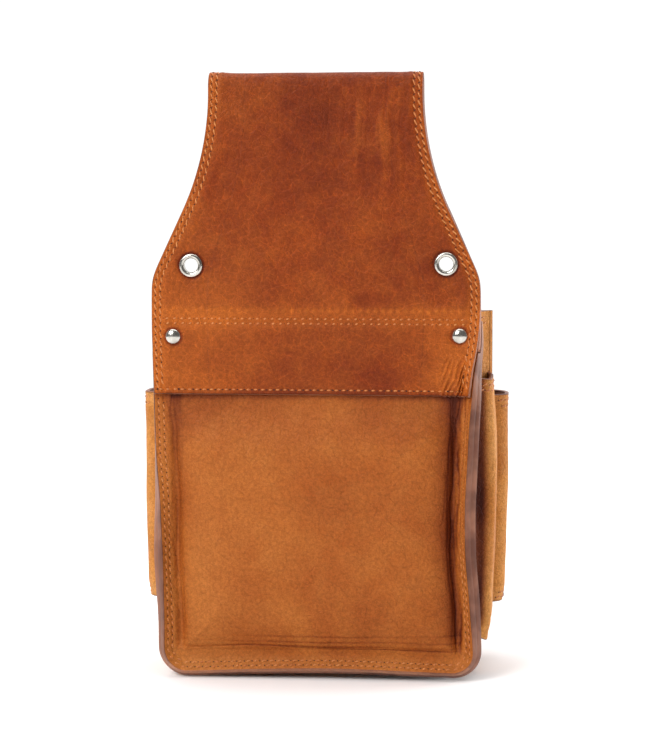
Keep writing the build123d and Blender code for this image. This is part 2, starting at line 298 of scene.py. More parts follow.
def leather_sheet(name, points, thickness, materials, tint=0.0, holes=(), edge=0.45, dyed=()):
    """A sheet of leather with rounded cut edges.

    points[i, j] is its grain face in millimetres, with the grain on the side of d/di x d/dj.
    tint lightens (above 0) or darkens (below 0) the leather. holes are (x, height, radius).
    materials are for the grain, the cut edge and the flesh side. dyed names the borders, "left",
    "right", "low" or "high" in i and j, whose edge dye has run onto the grain.
    """
    rows, cols = points.shape[:2]
    normal = unit(np.cross(np.gradient(points, axis=0), np.gradient(points, axis=1)))
    for i, inner_i in ((0, 1), (-1, -2)):
        for j, inner_j in ((0, 1), (-1, -2)):
            normal[i, j] = normal[inner_i, inner_j]
    thickness = np.broadcast_to(thickness, (rows, cols))[..., None]
    tint = np.broadcast_to(tint, (rows, cols)).reshape(-1)
    count = rows * cols
    index = np.arange(count).reshape(rows, cols)

    centre = (points[:-1, :-1] + points[1:, 1:]) / 2
    kept = np.ones((rows - 1, cols - 1), bool)
    for x, h, radius in holes:
        kept &= (centre[..., 0] - x) ** 2 + (centre[..., 2] - h) ** 2 >= radius**2
    slot = np.zeros(kept.shape, int)
    borders = {"left": np.s_[0], "right": np.s_[-1], "low": np.s_[:, 0], "high": np.s_[:, -1]}
    for key in dyed:
        slot[borders[key]] = 1
    grain, flesh_faces = quads(index)[kept], quads(index + count)[kept][:, ::-1]
    faces = grain.tolist() + flesh_faces.tolist()
    slots = slot[kept].tolist() + [2] * len(flesh_faces)

    # Walls of the holes.
    for i, j in zip(*np.nonzero(~kept)):
        corners = index[[i, i, i + 1, i + 1], [j, j + 1, j + 1, j]].tolist()
        beside = kept[[i - 1, i, i + 1, i], [j, j + 1, j, j - 1]]
        for k in np.nonzero(beside)[0]:
            a, b = corners[k], corners[(k + 1) % 4]
            faces.append([a, b, b + count, a + count])
            slots.append(1)

    # The cut edge, rounded.
    def border(of):
        return np.concatenate([of[0, :-1], of[:-1, -1], of[-1, :0:-1], of[:0:-1, 0]])

    nearest = index[np.clip(np.arange(rows), 1, rows - 2)][:, np.clip(np.arange(cols), 1, cols - 2)]
    loop, inner = border(index), border(nearest)
    flat, up, deep = points.reshape(-1, 3), normal.reshape(-1, 3)[loop], thickness.reshape(-1, 1)[loop]
    outward = flat[loop] - flat[inner]
    outward = unit(outward - (outward * up).sum(-1, keepdims=True) * up)
    rings = [flat[loop] + outward * edge * out - up * deep * share for out, share in EDGE_PROFILE]
    ring_index = 2 * count + np.arange(len(rings) * len(loop)).reshape(len(rings), -1)
    walls = quads(closed(np.vstack([loop, ring_index, loop + count]))).reshape(-1, 4)
    faces += walls.tolist()
    slots += [1] * len(walls)

    under = (points - normal * thickness).reshape(-1, 3)
    tints = np.concatenate([tint, tint, np.tile(tint[loop], len(rings))])
    vertices = to_row(np.concatenate([flat, under, *rings]))
    return mesh_object(name, vertices, faces, materials, slots, {"tint": tints})


def lathe(name, profile, centre, material, steps=48):
    """A turned piece about an axis along Y: profile is (radius, depth) in millimetres."""
    profile = np.array(profile, float)
    turn = np.linspace(0, 2 * pi, steps, endpoint=False)
    out = profile[:, :1]
    ring = stack(centre[0] + out * np.cos(turn), profile[:, 1:], centre[1] + out * np.sin(turn))
    faces = tube_faces(len(profile), steps)
    obj = mesh_object(name, to_row(ring.reshape(-1, 3)), faces.tolist(), [material], [0] * len(faces))
    bm = bmesh.new()
    bm.from_mesh(obj.data)
    bmesh.ops.remove_doubles(bm, verts=bm.verts, dist=1e-6)
    bmesh.ops.dissolve_degenerate(bm, edges=bm.edges, dist=1e-7)
    bmesh.ops.recalc_face_normals(bm, faces=bm.faces)
    bm.to_mesh(obj.data)
    bm.free()
    return obj


STITCH_SIDES = 6
STITCH_SPANS = 6
HOLE_SIDES = 8
HOLE_PROUD = 0.1
# Pitch, length, thread radius, rise, lean and hole radius of each kind of stitch.
STITCH_STYLES = {
    "edge": (3.95, 3.1, 0.40, 0.22, 0.42, 0.40),
    "rim": (3.95, 2.2, 0.44, 0.26, 0.32, 0.36),
    "tunnel": (3.8, 1.5, 0.42, 0.16, 0.45, 0.22),
    "lap": (3.7, 1.8, 0.42, 0.24, 0.10, 0.56),
}
# How much of a stitch's radius and rise is lost where the leather has swallowed it.
SWALLOWED = np.array([0.45, 2.1])


def stitched_row(surface, a, b, side=1, style="edge", phase=0.0, sunk=None):
    """Evenly spaced stitches along a line of a surface's parameters.

    sunk says how far, from 0 to 1, the leather has swallowed the stitch at a and b.
    Returns centres, directions, the row's own directions, normals and sizes, a row for each stitch.
    """
    pitch, length, radius, rise, slant, hole_radius = STITCH_STYLES[style]
    a, b = [np.array(part, float) for part in np.broadcast_arrays(a, b)]
    walk = walked(surface(a, b))
    spots = np.arange(pitch * (0.5 + phase), walk[-1] - pitch * 0.4, pitch)
    at_a, at_b = np.interp(spots, walk, a), np.interp(spots, walk, b)
    near_a, near_b = np.interp(spots + 0.5, walk, a), np.interp(spots + 0.5, walk, b)
    point, normal = surface_frame(surface, at_a, at_b)
    normal = normal * side
    along = unit(surface(near_a, near_b) - point)
    across = np.cross(normal, along)
    lean = np.where(across[:, :1] * along[:, 2:] > 0, -1, 1) * slant
    direction = unit(along * np.cos(lean) + across * np.sin(lean))
    sizes = np.tile([length, radius, rise, pitch, hole_radius], (len(spots), 1))
    if sunk is not None:
        sizes[:, 1:3] *= 1 - sunk(at_a, at_b)[:, None] * SWALLOWED
        sizes[:, 4] *= 1 - sunk(at_a, at_b) * 0.5
    return [point, direction, along, normal, sizes]


def stitching(name, rows):
    """One object of all the stitches in several rows, with a needle hole between each two, drawn as a dark
    disc of painted shade.
    """
    point, direction, along, normal, sizes = [np.concatenate(part)[:, None] for part in zip(*rows)]
    length, radius, rise, pitch, hole_radius = np.moveaxis(sizes, -1, 0)[..., None]
    spans = np.linspace(-0.5, 0.5, STITCH_SPANS)[:, None]
    arch = np.cos(spans * pi * 0.94)
    spine = point + spans * length * direction + rise * (arch * 1.6 - 0.7) * normal
    plump = (radius * (0.5 + 0.5 * arch))[:, :, None]
    turn = np.linspace(0, 2 * pi, STITCH_SIDES, endpoint=False)[:, None]
    across = np.cross(normal, direction)[:, :, None]
    ring = spine[:, :, None] + plump * (np.cos(turn) * across + 0.85 * np.sin(turn) * normal[:, :, None])

    # A dark disc at each needle hole, painted shade for the hole.
    turn = np.linspace(0, 2 * pi, HOLE_SIDES, endpoint=False)[:, None]
    middle = point - along * pitch / 2 + normal * HOLE_PROUD
    hole_rim = middle + hole_radius * (np.cos(turn) * along + np.sin(turn) * np.cross(normal, along))
    vertices = np.concatenate([ring.reshape(len(ring), -1, 3), hole_rim, middle + normal * 0.05], axis=1)

    thread_faces = tube_faces(STITCH_SPANS, STITCH_SIDES)
    around = np.arange(HOLE_SIDES)
    hole_faces = np.stack([around, np.roll(around, -1), np.full_like(around, HOLE_SIDES)], axis=-1)
    hole_faces += STITCH_SPANS * STITCH_SIDES
    faces = []
    for start in range(0, vertices.shape[0] * vertices.shape[1], vertices.shape[1]):
        faces += (thread_faces + start).tolist() + (hole_faces + start).tolist()
    slots = ([0] * len(thread_faces) + [1] * len(hole_faces)) * len(vertices)
    return mesh_object(name, to_row(vertices.reshape(-1, 3)), faces, [thread, hole], slots)


# --- Materials ---


def srgb(r, g, b):
    """A linear colour from 0-255 screen values."""
    shares = [c / 255 for c in (r, g, b)]
    return *[c / 12.92 if c <= 0.04045 else ((c + 0.055) / 1.055) ** 2.4 for c in shares], 1.0


class Nodes:
    """A material's node tree, with a short call for each kind of node that is used."""

    def __init__(self, name):
        self.material = bpy.data.materials.new(name)
        self.material.use_nodes = True
        self.tree = self.material.node_tree
        self.shader = self.tree.nodes["Principled BSDF"]
        self.place = self.tree.nodes.new("ShaderNodeTexCoord").outputs["Object"]

    def feed(self, node, inputs):
        """Sets a node's inputs to numbers and colours, or links them to other nodes' outputs."""
        for key, value in inputs.items():
            if isinstance(value, bpy.types.NodeSocket):
                self.tree.links.new(value, node.inputs[key])
            else:
                node.inputs[key].default_value = value

    def add(self, kind, output, inputs, **settings):
        """A new node's output."""
        node = self.tree.nodes.new("ShaderNode" + kind)
        for key, value in settings.items():
            setattr(node, key, value)
        self.feed(node, inputs)
        return node.outputs[output]

    def finished(self, **inputs):
        """The material, with the shader's inputs set; an underscore in a name stands for a space."""
        self.feed(self.shader, {key.replace("_", " "): value for key, value in inputs.items()})
        return self.material

    def stretched(self, scale, turn=0.0):
        return self.add("Mapping", "Vector", {"Vector": self.place, "Scale": scale, "Rotation": (0, turn, 0)})

    def noise(self, scale, detail=3.0, rough=0.55, distortion=0.0, vector=None):
        shape = {"Scale": scale, "Detail": detail, "Roughness": rough, "Distortion": distortion}
        return self.add("TexNoise", "Fac", {"Vector": vector or self.place, **shape})

    def cells(self, scale, vector=None):
        inputs = {"Vector": vector or self.place, "Scale": scale}
        return self.add("TexVoronoi", "Distance", inputs, feature="DISTANCE_TO_EDGE")

    def tint(self):
        return self.add("Attribute", "Fac", {}, attribute_name="tint")

    def ranged(self, value, low, high, to_low=0.0, to_high=1.0):
        inputs = {"Value": value, "From Min": low, "From Max": high, "To Min": to_low, "To Max": to_high}
        return self.add("MapRange", "Result", inputs, interpolation_type="SMOOTHSTEP")

    def math(self, kind, a, b):
        return self.add("Math", 0, {0: a, 1: b}, operation=kind)

    def mix(self, factor, a, b, kind="MIX"):
        inputs = {"Factor": factor, "A": a, "B": b}
        return self.add("Mix", "Result", inputs, data_type="RGBA", blend_type=kind)

    def shaded(self, colour, red, green, blue):
        """A colour multiplied by a factor for each channel."""
        factors = self.add("CombineColor", "Color", {"Red": red, "Green": green, "Blue": blue})
        return self.mix(1.0, colour, factors, "MULTIPLY")

    def bump(self, height, strength, distance, below=None):
        inputs = {"Strength": strength, "Distance": distance, "Height": height}
        if below is not None:
            inputs["Normal"] = below
        return self.add("Bump", "Normal", inputs)


def grain_leather(name, deep, middle, light, cloud, crease=0.93, gloss=0.13):
    """Waxed full-grain leather: cloudy pull-up colour, pores, fine creases and rubbed lights.

    The "tint" of the mesh lightens or darkens it. It carries the leather's own tone together with painted
    light and painted shade; where it darkens, green and blue fall faster than red, so that painted shade
    comes out redder.
    Its creases are darker than the rest where crease is below 1, and rubbed lighter above.
    """
    n = Nodes(name)
    wander = n.add("TexNoise", "Color", {"Vector": n.place, "Scale": 110.0})
    drift = {0: wander, 1: (0.006,) * 3, 2: n.place}
    drifting = n.add("VectorMath", "Vector", drift, operation="MULTIPLY_ADD")
    clouds = n.ranged(n.noise(cloud, 5.0, 0.62, 0.8), 0.32, 0.7)
    blotches = n.ranged(n.noise(cloud * 4, 4.0, 0.65, 0.6), 0.35, 0.75)
    speckle = n.ranged(n.noise(620.0, 3.0, 0.7), 0.3, 0.7)
    pores, creases, small_creases = n.cells(900.0), n.cells(165.0, drifting), n.cells(330.0, drifting)
    large, small = n.ranged(creases, 0.0, 0.05, crease), n.ranged(small_creases, 0.0, 0.10, crease)
    creased = n.math("MULTIPLY", large, small)
    marked = n.math("MULTIPLY", n.ranged(pores, 0.0, 0.16, 0.84), creased)
    shade = n.math("MULTIPLY", n.ranged(speckle, 0.0, 1.0, 0.87, 1.12), marked)
    colour = n.mix(clouds, deep, middle)
    colour = n.mix(n.math("MULTIPLY", blotches, 0.2), colour, light)
    tint = n.tint()
    # A tint above 0 moves the colour towards the light one, for rubbed wear and painted light. Below 0 it
    # darkens it, for darker tone and painted shade, green and blue faster than red.
    lighter = n.math("MINIMUM", n.math("MAXIMUM", tint, 0.0), 1.0)
    kept = n.math("ADD", n.math("MINIMUM", tint, 0.0), 1.0)
    red = n.math("MULTIPLY", shade, kept)
    other = n.math("MULTIPLY", shade, n.math("POWER", kept, 1.4))
    normal = n.bump(n.ranged(pores, 0.0, 0.4), 0.35, 0.00018)
    normal = n.bump(n.ranged(small_creases, 0.0, 0.12), 0.3, 0.0003, normal)
    normal = n.bump(n.ranged(creases, 0.0, 0.07), 0.35, 0.00035, normal)
    return n.finished(
        Base_Color=n.shaded(n.mix(lighter, colour, light), red, other, other),
        Roughness=n.ranged(speckle, 0.0, 1.0, 0.6, 0.43),
        Specular_IOR_Level=gloss,
        Normal=n.bump(n.noise(260.0, 3.0, 0.6), 0.45, 0.0006, normal),
    )


def cut_edge(name, dark, light, rubbed):
    """The dyed cut edge of the leather: burnished, with the fibre's long streaks."""
    n = Nodes(name)
    streaks = n.noise(420.0, 3.0, 0.6, vector=n.stretched((1.0, 1.0, 0.25)))
    colour = n.mix(n.ranged(n.noise(60.0), 0.35, 0.65), dark, light)
    colour = n.mix(n.ranged(n.tint(), 0.3, 1.0), colour, rubbed)
    fibre = n.ranged(streaks, 0.3, 0.7, 0.84, 1.12)
    return n.finished(
        Base_Color=n.shaded(colour, fibre, fibre, fibre),
        Roughness=0.45,
        Specular_IOR_Level=0.36,
        Normal=n.bump(streaks, 0.3, 0.0003),
    )


def flesh_side(name, dark, light):
    """The napped inner face of the leather."""
    n = Nodes(name)
    nap = n.noise(900.0, 4.0, 0.7)
    colour = n.mix(n.ranged(n.noise(45.0), 0.3, 0.7), dark, light)
    return n.finished(
        Base_Color=n.mix(n.ranged(nap, 0.3, 0.7, 0.0, 0.35), colour, dark),
        Roughness=0.92,
        Specular_IOR_Level=0.15,
        Sheen_Weight=0.25,
        Normal=n.bump(nap, 0.6, 0.0004),
    )


def waxed_thread(name, dark, light):
    """Twisted thread, lighter where its strands stand up."""
    n = Nodes(name)
    twist = n.noise(1500.0, 2.0, 0.6)
    colour = n.mix(n.ranged(twist, 0.35, 0.65), dark, light)
    worn = n.mix(n.ranged(n.noise(70.0, 2.0), 0.4, 0.7, 0.0, 0.4), colour, dark)
    return n.finished(Base_Color=worn, Roughness=0.5, Normal=n.bump(twist, 0.5, 0.0002))


def needle_hole(name, colour):
    """Painted shade for a needle's hole: a dark colour with flecks."""
    n = Nodes(name)
    deep = (*[c * 0.6 for c in colour[:3]], 1.0)
    return n.finished(Base_Color=n.mix(n.ranged(n.noise(900.0), 0.3, 0.7), colour, deep), Roughness=0.9)


def nickel_plate(name):
    """Polished nickel with fine scuffs."""
    n = Nodes(name)
    scuffs = n.noise(600.0, 4.0, 0.7, vector=n.stretched((1.0, 1.0, 0.2), 0.6))
    return n.finished(
        Base_Color=n.mix(n.ranged(n.noise(150.0), 0.35, 0.7), srgb(208, 204, 196), srgb(172, 167, 158)),
        Roughness=n.ranged(scuffs, 0.3, 0.8, 0.13, 0.3),
        Metallic=1.0,
        Normal=n.bump(scuffs, 0.08, 0.0001),
    )


def pale_floor(name):
    """The matt floor."""
    n = Nodes(name)
    tone = n.mix(n.noise(3.0), (0.93, 0.93, 0.93, 1), (0.95, 0.95, 0.95, 1))
    return n.finished(Base_Color=tone, Roughness=0.9, Specular_IOR_Level=0.1)


dark_grain = grain_leather(
    "waxed_leather_dark", srgb(112, 41, 8), srgb(132, 54, 10), srgb(174, 90, 28), cloud=22.0, crease=1.2)
tan_grain = grain_leather(
    "waxed_leather_tan", srgb(157, 80, 28), srgb(170, 94, 36), srgb(192, 120, 56), cloud=18.0)
# A paler copy of the tan leather for the gusset and the pockets: partly their own paler tone, partly painted
# light on these side-facing pieces.
pale_and_lit_grain = grain_leather(
    "waxed_leather_pale_and_lit", srgb(184, 114, 52), srgb(201, 136, 69), srgb(218, 164, 108), cloud=24.0, gloss=0.04)
edge_dye = cut_edge("dyed_edge", srgb(100, 56, 39), srgb(137, 89, 67), srgb(178, 120, 88))
waxed_edge = cut_edge("waxed_edge", srgb(100, 52, 32), srgb(134, 82, 58), srgb(160, 98, 66))
flesh = flesh_side("flesh_side", srgb(88, 46, 22), srgb(124, 74, 40))
thread = waxed_thread("waxed_thread", srgb(176, 94, 38), srgb(210, 138, 72))
hole = needle_hole("needle_hole_shade", srgb(70, 28, 10))
nickel = nickel_plate("nickel_plate")
floor_paint = pale_floor("floor_paint")

DARK = (dark_grain, waxed_edge, flesh)
TAN = (tan_grain, edge_dye, flesh)
PALE_AND_LIT = (pale_and_lit_grain, edge_dye, flesh)
POCKET = (pale_and_lit_grain, waxed_edge, flesh)


# --- The back: neck, yoke and tunnel in one leather ---


def half_width(h):
    """Half the back's width at a height, with a rounded shoulder."""
    drop = np.maximum(TOP - NECK_STRAIGHT - h, 0)
    arc_drop = NECK_ARC * sin(NECK_LEAN)
    on_arc = NECK_HALF + NECK_ARC - np.sqrt(NECK_ARC**2 - np.minimum(drop, arc_drop) ** 2)
    wide = on_arc + np.maximum(drop - arc_drop, 0) * tan(NECK_LEAN)
    return -SHOULDER * np.logaddexp(-wide / SHOULDER, -HALF / SHOULDER)


def rim_fold(reach, angle, lift):
    """Where a point goes that lies a distance past the rim's root: outwards, towards the wearer.

    lift is how far towards the wearer the leather lies on the panel's grain.
    """
    angle = np.maximum(angle, 1e-3)
    radius = RIM_BEND / angle
    past = np.maximum(reach - RIM_BEND, 0)
    here = angle * np.clip(reach, 0, RIM_BEND) / RIM_BEND
    out = radius * np.sin(here) + past * np.cos(angle) - lift * np.sin(here)
    rise = radius * (1 - np.cos(here)) + past * np.sin(angle) + lift * (np.cos(here) - 1)
    return np.where(reach > 0, out, reach), np.where(reach > 0, rise, 0)


def pulled_in(x, side, h):
    """How far the drawn-in seam moves a point of the back sideways."""
    return side * by_height(RIM_PULL, side, h) * np.minimum(np.abs(x) / ROOT, 1.0)


FOLD_CENTRE = TOP - FOLD
neck_corners = [(BACK, LAP), (BACK, FOLD_CENTRE - 1)]
neck_corners += [(FOLD * cos(t), FOLD_CENTRE + FOLD * sin(t)) for t in np.linspace(pi, 0, 15)]
neck_corners += [(FOLD, TUNNEL_NARROWS), (LEAF_FACE, TUNNEL_FLOOR), (LEAF_FACE, LEAF_END)]
NECK_PATH = smooth_path(neck_corners, pad=8)
NECK_LENGTH = NECK_PATH[0][-1]
REAR_LENGTH = FOLD_CENTRE - LAP


def seam_print(x, h):
    """The short dashes that the seam behind has printed into the back, above the tunnel's rows."""
    dashes = 0.5 + 0.5 * np.cos(x * 2 * pi / 3.8 + 1.2 * noise(x / 23, h * 0, 7))
    return dashes * bump(h, PRINT_HEIGHT, 1.3) * (0.75 + 0.5 * noise(x / 12, h * 0, 9))


def rows_across(x, h):
    """How the rows sewn across the back, and the prints of the seams beside them, push it out."""
    push = (
        -dents(h, TUNNEL_ROWS, 0.4) + 0.34 * seam_print(x, h)
        + 0.15 * bump(h, PRINT_HEIGHT + 2, 2.0) + 0.22 * bump(h, TUNNEL_LOW - 2.0, 1.4)
    )
    return push * smooth(HALF - 6, HALF - 9, np.abs(x)) - 0.45 * bump(h, LAP_ROW, 0.9)


def upright_folds(x, v):
    """Fine upright folds where the neck has been bent, on the right above all."""
    drift = 0.8 * noise(x / 17, v / 19, 31)
    where = bump(x, 36, 22) * smooth(85, 125, v) * (v < REAR_LENGTH)
    return 1.6 * folds(x / 2.6 + drift, v / 22, 32) * where


def puckers(x, h):
    """The small folds that fan out where the rim turns, larger on the right."""
    wide = np.abs(x)
    fan = smooth(63, 69, wide) * smooth(80.5, 77, wide) * smooth(167, 154, h) * smooth(142, 146, h)
    skew = wide - 0.36 * (h - 150)
    ripple = np.cos(skew * 2 * pi / 2.8 + 2.6 * noise(x / 6, h / 8, 4))
    return fan * ripple * (0.65 + 0.5 * noise(skew / 2.6, h / 7, 44)) * np.where(x > 0, 1.0, 0.15)


def round_fittings(x, h, start, end):
    """1 on the leather close round the eyelets and rivets, from start to end past their edges."""
    return sum(smooth(radius + end, radius + start, np.hypot(x - x0, h - h0)) for x0, h0, radius in FITTINGS)


def leaf_swell(x, h):
    """How much thicker the tunnel's inner leaf is where the gusset is sewn to its edges."""
    return RIM_SWELL * smooth(4.5, 7.5, np.abs(x) - ROOT) * smooth(MOUTH + 6, MOUTH, h)


def neck_surface(x, v):
    """The neck leather's grain face at x, a distance v up from the yoke's lapped edge."""
    y, h = on_path(NECK_PATH, v)
    h = np.where(v < 0, LAP + v, h)
    (y_before, h_before), (y_after, h_after) = on_path(NECK_PATH, v - 0.5), on_path(NECK_PATH, v + 0.5)
    length = np.maximum(np.hypot(y_after - y_before, h_after - h_before), 1e-6)
    out_y, out_h = (h_before - h_after) / length, (y_after - y_before) / length
    rear = v < REAR_LENGTH
    side = np.where(x < 0, -1.0, 1.0)
    wide = np.abs(x)
    edge = half_width(h) - wide

    # The leather is never quite flat, and each seam pulls it in.
    push = (
        0.5 * folds(x / 37, v / 45, 3) + 0.14 * folds(x / 9, v / 8, 8) + 0.14 * upright_folds(x, v)
        - dents(edge, ROWS, 0.34) - 0.35 * bump(edge, 0, 0.9) + 0.2 * bump(edge, 8.5, 2.4)
        + 0.3 * smooth(TOP - 26, TOP - 4, h) * smooth(8.5, 6.5, edge)
        + np.where(rear, rows_across(x, h) + 0.8 * puckers(x, h), 0)
        - 0.45 * round_fittings(x, h, 0, 2.6)
    )
    swell = np.where(rear, 0, leaf_swell(x, h))
    lift = np.where(rear, LEATHER + 0.1, PANEL_FACE - LEAF_FACE - swell)
    y, h_out = y + push * out_y + swell, h + push * out_h
    out, rise = rim_fold(wide - ROOT, np.radians(by_height(RIM_TURN, side, h)), lift)
    folded = side * (ROOT + out) - pulled_in(x, side, h)
    return stack(np.where(h < RIM_TOP, folded, x), np.where(h < RIM_TOP, y - rise, y), h_out)


def neck_columns():
    """Columns from -1 to 1, close together where the fittings and the seams are."""
    inner, outer = np.arange(0, 0.66, 0.011), np.arange(0.66, 0.965, 0.0055)
    half = np.concatenate([inner, outer, np.linspace(0.965, 1, 9)])
    return np.concatenate([-half[:0:-1], half])


def neck_rows():
    """Distances up the neck's leather, close together beside the fittings."""
    coarse = np.arange(0, REAR_LENGTH, 0.9)
    rows = [np.linspace(REAR_LENGTH, NECK_LENGTH - 0.3, 130)]
    for _, h, radius in FITTINGS[::2]:
        close = np.arange(h - LAP - radius - 2, h - LAP + radius + 2, 0.45)
        coarse = coarse[(coarse < close.min() - 0.4) | (coarse > close.max() + 0.4)]
        rows.append(close)
    return np.sort(np.concatenate([coarse, *rows]))


def neck_tint(x, v, h, edge):
    """Pull-up leather: paler where it is bent and rubbed, darker at the middle of the neck, with a painted
    shadow ring round each eyelet and rivet and painted shade along the yoke's lapped edge.
    """
    rear = v < REAR_LENGTH
    tint = (
        0.4 * smooth(9, 2, edge) + 0.32 * bump(h, TUNNEL_LOW + 3.0, 6.0)
        + 0.30 * smooth(-20, -70, x) * smooth(270, 215, h) + 0.14 * smooth(20, 75, x) * smooth(240, 205, h)
        - 0.14 * bump(x, 14, 40) * smooth(215, 245, h) + 0.16 * smooth(-10, -50, x) * smooth(250, 280, h)
        + 0.22 * folds(x / 30, h / 26, 21) + 0.12 * folds(x / 13, h / 10, 33)
        + 0.14 * smooth(-30, -75, x) * smooth(190, 160, h) + 0.42 * bump(x, 69, 8) * bump(h, 156, 13)
        + 0.12 * bump(x, 0, 70) * smooth(176, 168, h) + 0.1 * smooth(30, 60, x) * smooth(176, 170, h)
        + 0.2 * bump(x, -52, 26) * bump(h, 190, 14) - 0.08 * smooth(20, 45, x) * smooth(245, 270, h)
        # round_fittings here: a painted shadow ring round the eyelets and rivets.
        + 0.3 * np.clip(upright_folds(x, v), -0.3, 1) - 0.6 * round_fittings(x, h, 0.4, 1.3)
        + 0.6 * np.where(rear, np.clip(puckers(x, h), -0.3, 1), 0)
        + 0.5 * np.where(rear, seam_print(x, h), 0) * smooth(HALF - 5, HALF - 9, np.abs(x))
        # Painted shade along the yoke's lapped lower edge.
        - 0.35 * smooth(LAP + 2.6, LAP, h) * (v < 8)
    )
    return np.clip(tint, -0.35, 0.9)


def make_neck():
    v = neck_rows()
    half = half_width(on_path(NECK_PATH, v)[1])
    x = neck_columns()[:, None] * (half - 0.45)
    v = np.broadcast_to(v, x.shape)
    points = neck_surface(x, v)
    h = points[..., 2]
    tint = neck_tint(x, v, h, half - np.abs(x))
    holes = [(x0, h0, radius - 1.3) for x0, h0, radius in FITTINGS[:2]]
    thickness = LEATHER + leaf_swell(x, h) * (v > REAR_LENGTH)
    skin = leather_sheet("neck_leather_skin", points, thickness, DARK, tint, holes)
    place(skin, "dark_leather", "bend", "neck_leather", "back_yoke", "tunnel_leaf_end")


def make_edge_strips():
    for side, s in SIDES.items():
        node = f"neck_edge_strip_{side}"
        rear, front = LOW[node][1], HIGH[node][1]
        h = np.arange(LOW[node][2], HIGH[node][2], 1.2)
        x = s * (half_width(h) - np.linspace(0.4, 7.3, 9)[:, None])
        points = stack(x, front + 0.08 * noise(x / 6, h / 9, 2), h)[::-s, ::-1]
        strip = leather_sheet(f"edge_strip_{side}", points, front - rear - 0.1, DARK, -0.1, edge=0.3)
        place(strip, "dark_leather", "hanger", node)


# --- The back panel, puffed, with its rim turned towards the wearer ---

FLAT_CORNER = ROOT_CORNER + RIM_LENGTH
PANEL_TOP = LEAF_END - 0.1
PANEL_LENGTH = PANEL_TOP - ROOT_BASE + RIM_LENGTH


def base_sag(x, based):
    """The base's middle hangs higher than its corners, the left one lowest."""
    return (1.5 * bump(x, 10, 44) - 0.9 * smooth(-30, -74, x)) * based


def crease_lines(across, along, starts, wander, wave, width, seed):
    """Wavy lines, 1 at their middle, that set out at each of the starts and run along."""
    lines = 0
    for k, start in enumerate(starts):
        lane = along * 0 + 3.7 * k
        drift = noise(along / wave, lane, seed) + 0.3 * noise(along * 3.3 / wave, lane, seed + 2)
        strength = np.clip(0.75 + 0.7 * noise(along / (1.6 * wave), lane + 1.9, seed + 1), 0, 1)
        lines = np.maximum(lines, strength * bump(across, start + wander * drift, width))
    return lines


def flange_creases(side, reach, q):
    """The long creases that the seam draws into the flange and the valley."""
    in_valley = crease_lines(reach, q + 200 * side, (-5.2, -3.4, -1.7, 0.0), 1.0, 13.0, 0.44, 9)
    on_flange = crease_lines(reach, q + 200 * side, (1.9, 4.3, 6.7), 1.5, 10.0, 0.8, 19)
    return np.maximum(in_valley, on_flange)


def base_creases(p, q):
    """The level creases across the panel above its base seam."""
    starts = [RIM_LENGTH + gap for gap in (2.6, 4.4, 6.8, 10.5)]
    return crease_lines(q, p, starts, 0.9, 31.0, 0.5, 14) * bump(q, RIM_LENGTH + 5, 7.0)


def corner_turn(across, down):
    """Where a point lies that is across and down from a corner's centre.

    Returns whether it is in the corner, its distance, and its turn from sideways to straight down.
    """
    big = np.maximum(np.maximum(across, down), 1e-6)
    turn = pi / 4 * np.clip(np.minimum(across, down) / big, 0, 1)
    return (across > 0) & (down > 0), big, np.where(across >= down, turn, pi / 2 - turn)


def panel_surface(p, q):
    """The back panel's grain face; p runs across its flat cut and q up it from the base edge."""
    side = np.where(p < 0, -1.0, 1.0)
    wide = np.abs(p)
    across, down = wide - (HALF - FLAT_CORNER), FLAT_CORNER - q
    in_corner, _, turn = corner_turn(across, down)
    reach = np.maximum(across, down) - ROOT_CORNER
    h_flat = ROOT_BASE - RIM_LENGTH + q
    based = np.where(in_corner, np.sin(turn) ** 2, np.where(down > 0, 1.0, 0.0))
    angle = np.radians(by_height(RIM_TURN, side, h_flat))
    out, rise = rim_fold(reach, angle + (BASE_TURN - angle) * based, 0)
    radial = ROOT_CORNER + out
    centre_x, centre_h = ROOT - ROOT_CORNER, ROOT_BASE + ROOT_CORNER
    sideways = across >= down
    x = np.where(in_corner, centre_x + radial * np.cos(turn), np.where(sideways, centre_x + radial, wide))
    h = np.where(in_corner, centre_h - radial * np.sin(turn), np.where(sideways, h_flat, centre_h - radial))

    # The puffed middle rises steeply from the valley beside the rim.
    inside = np.maximum(-reach, 0)
    steep, creased = np.where(side > 0, 9.5, 12.0), np.where(side > 0, 0.68, 0.3)
    low_part, at_side = smooth(LAP - 2, LAP - 30, h), smooth(3, -3, down)
    at_base = smooth(-8, 0, down) * smooth(HALF - 7, HALF - 20, wide)
    in_flange = bump(reach, 2.2, 6.2) * at_side * smooth(0, -10, h - PANEL_TOP)
    puff = (
        6.6 * (1 - np.exp(-((inside / steep) ** 1.35))) * low_part * (1 + 0.10 * folds(p / 50, q / 44, 5))
        + 0.4 * folds(p / 21, q / 24, 12) * smooth(0, 12, inside)
        - creased * flange_creases(side, reach, q) * in_flange
        - 1.6 * bump(reach, -0.6, 2.2) * at_side * low_part
        - 0.55 * base_creases(p, q) * at_base
        - dents(RIM_LENGTH - reach, ROWS, 0.3)
    )
    h = h + base_sag(x * side, based * smooth(20, 0, q))
    return stack(side * x - pulled_in(x, side, h_flat), PANEL_FACE - rise - puff, h)


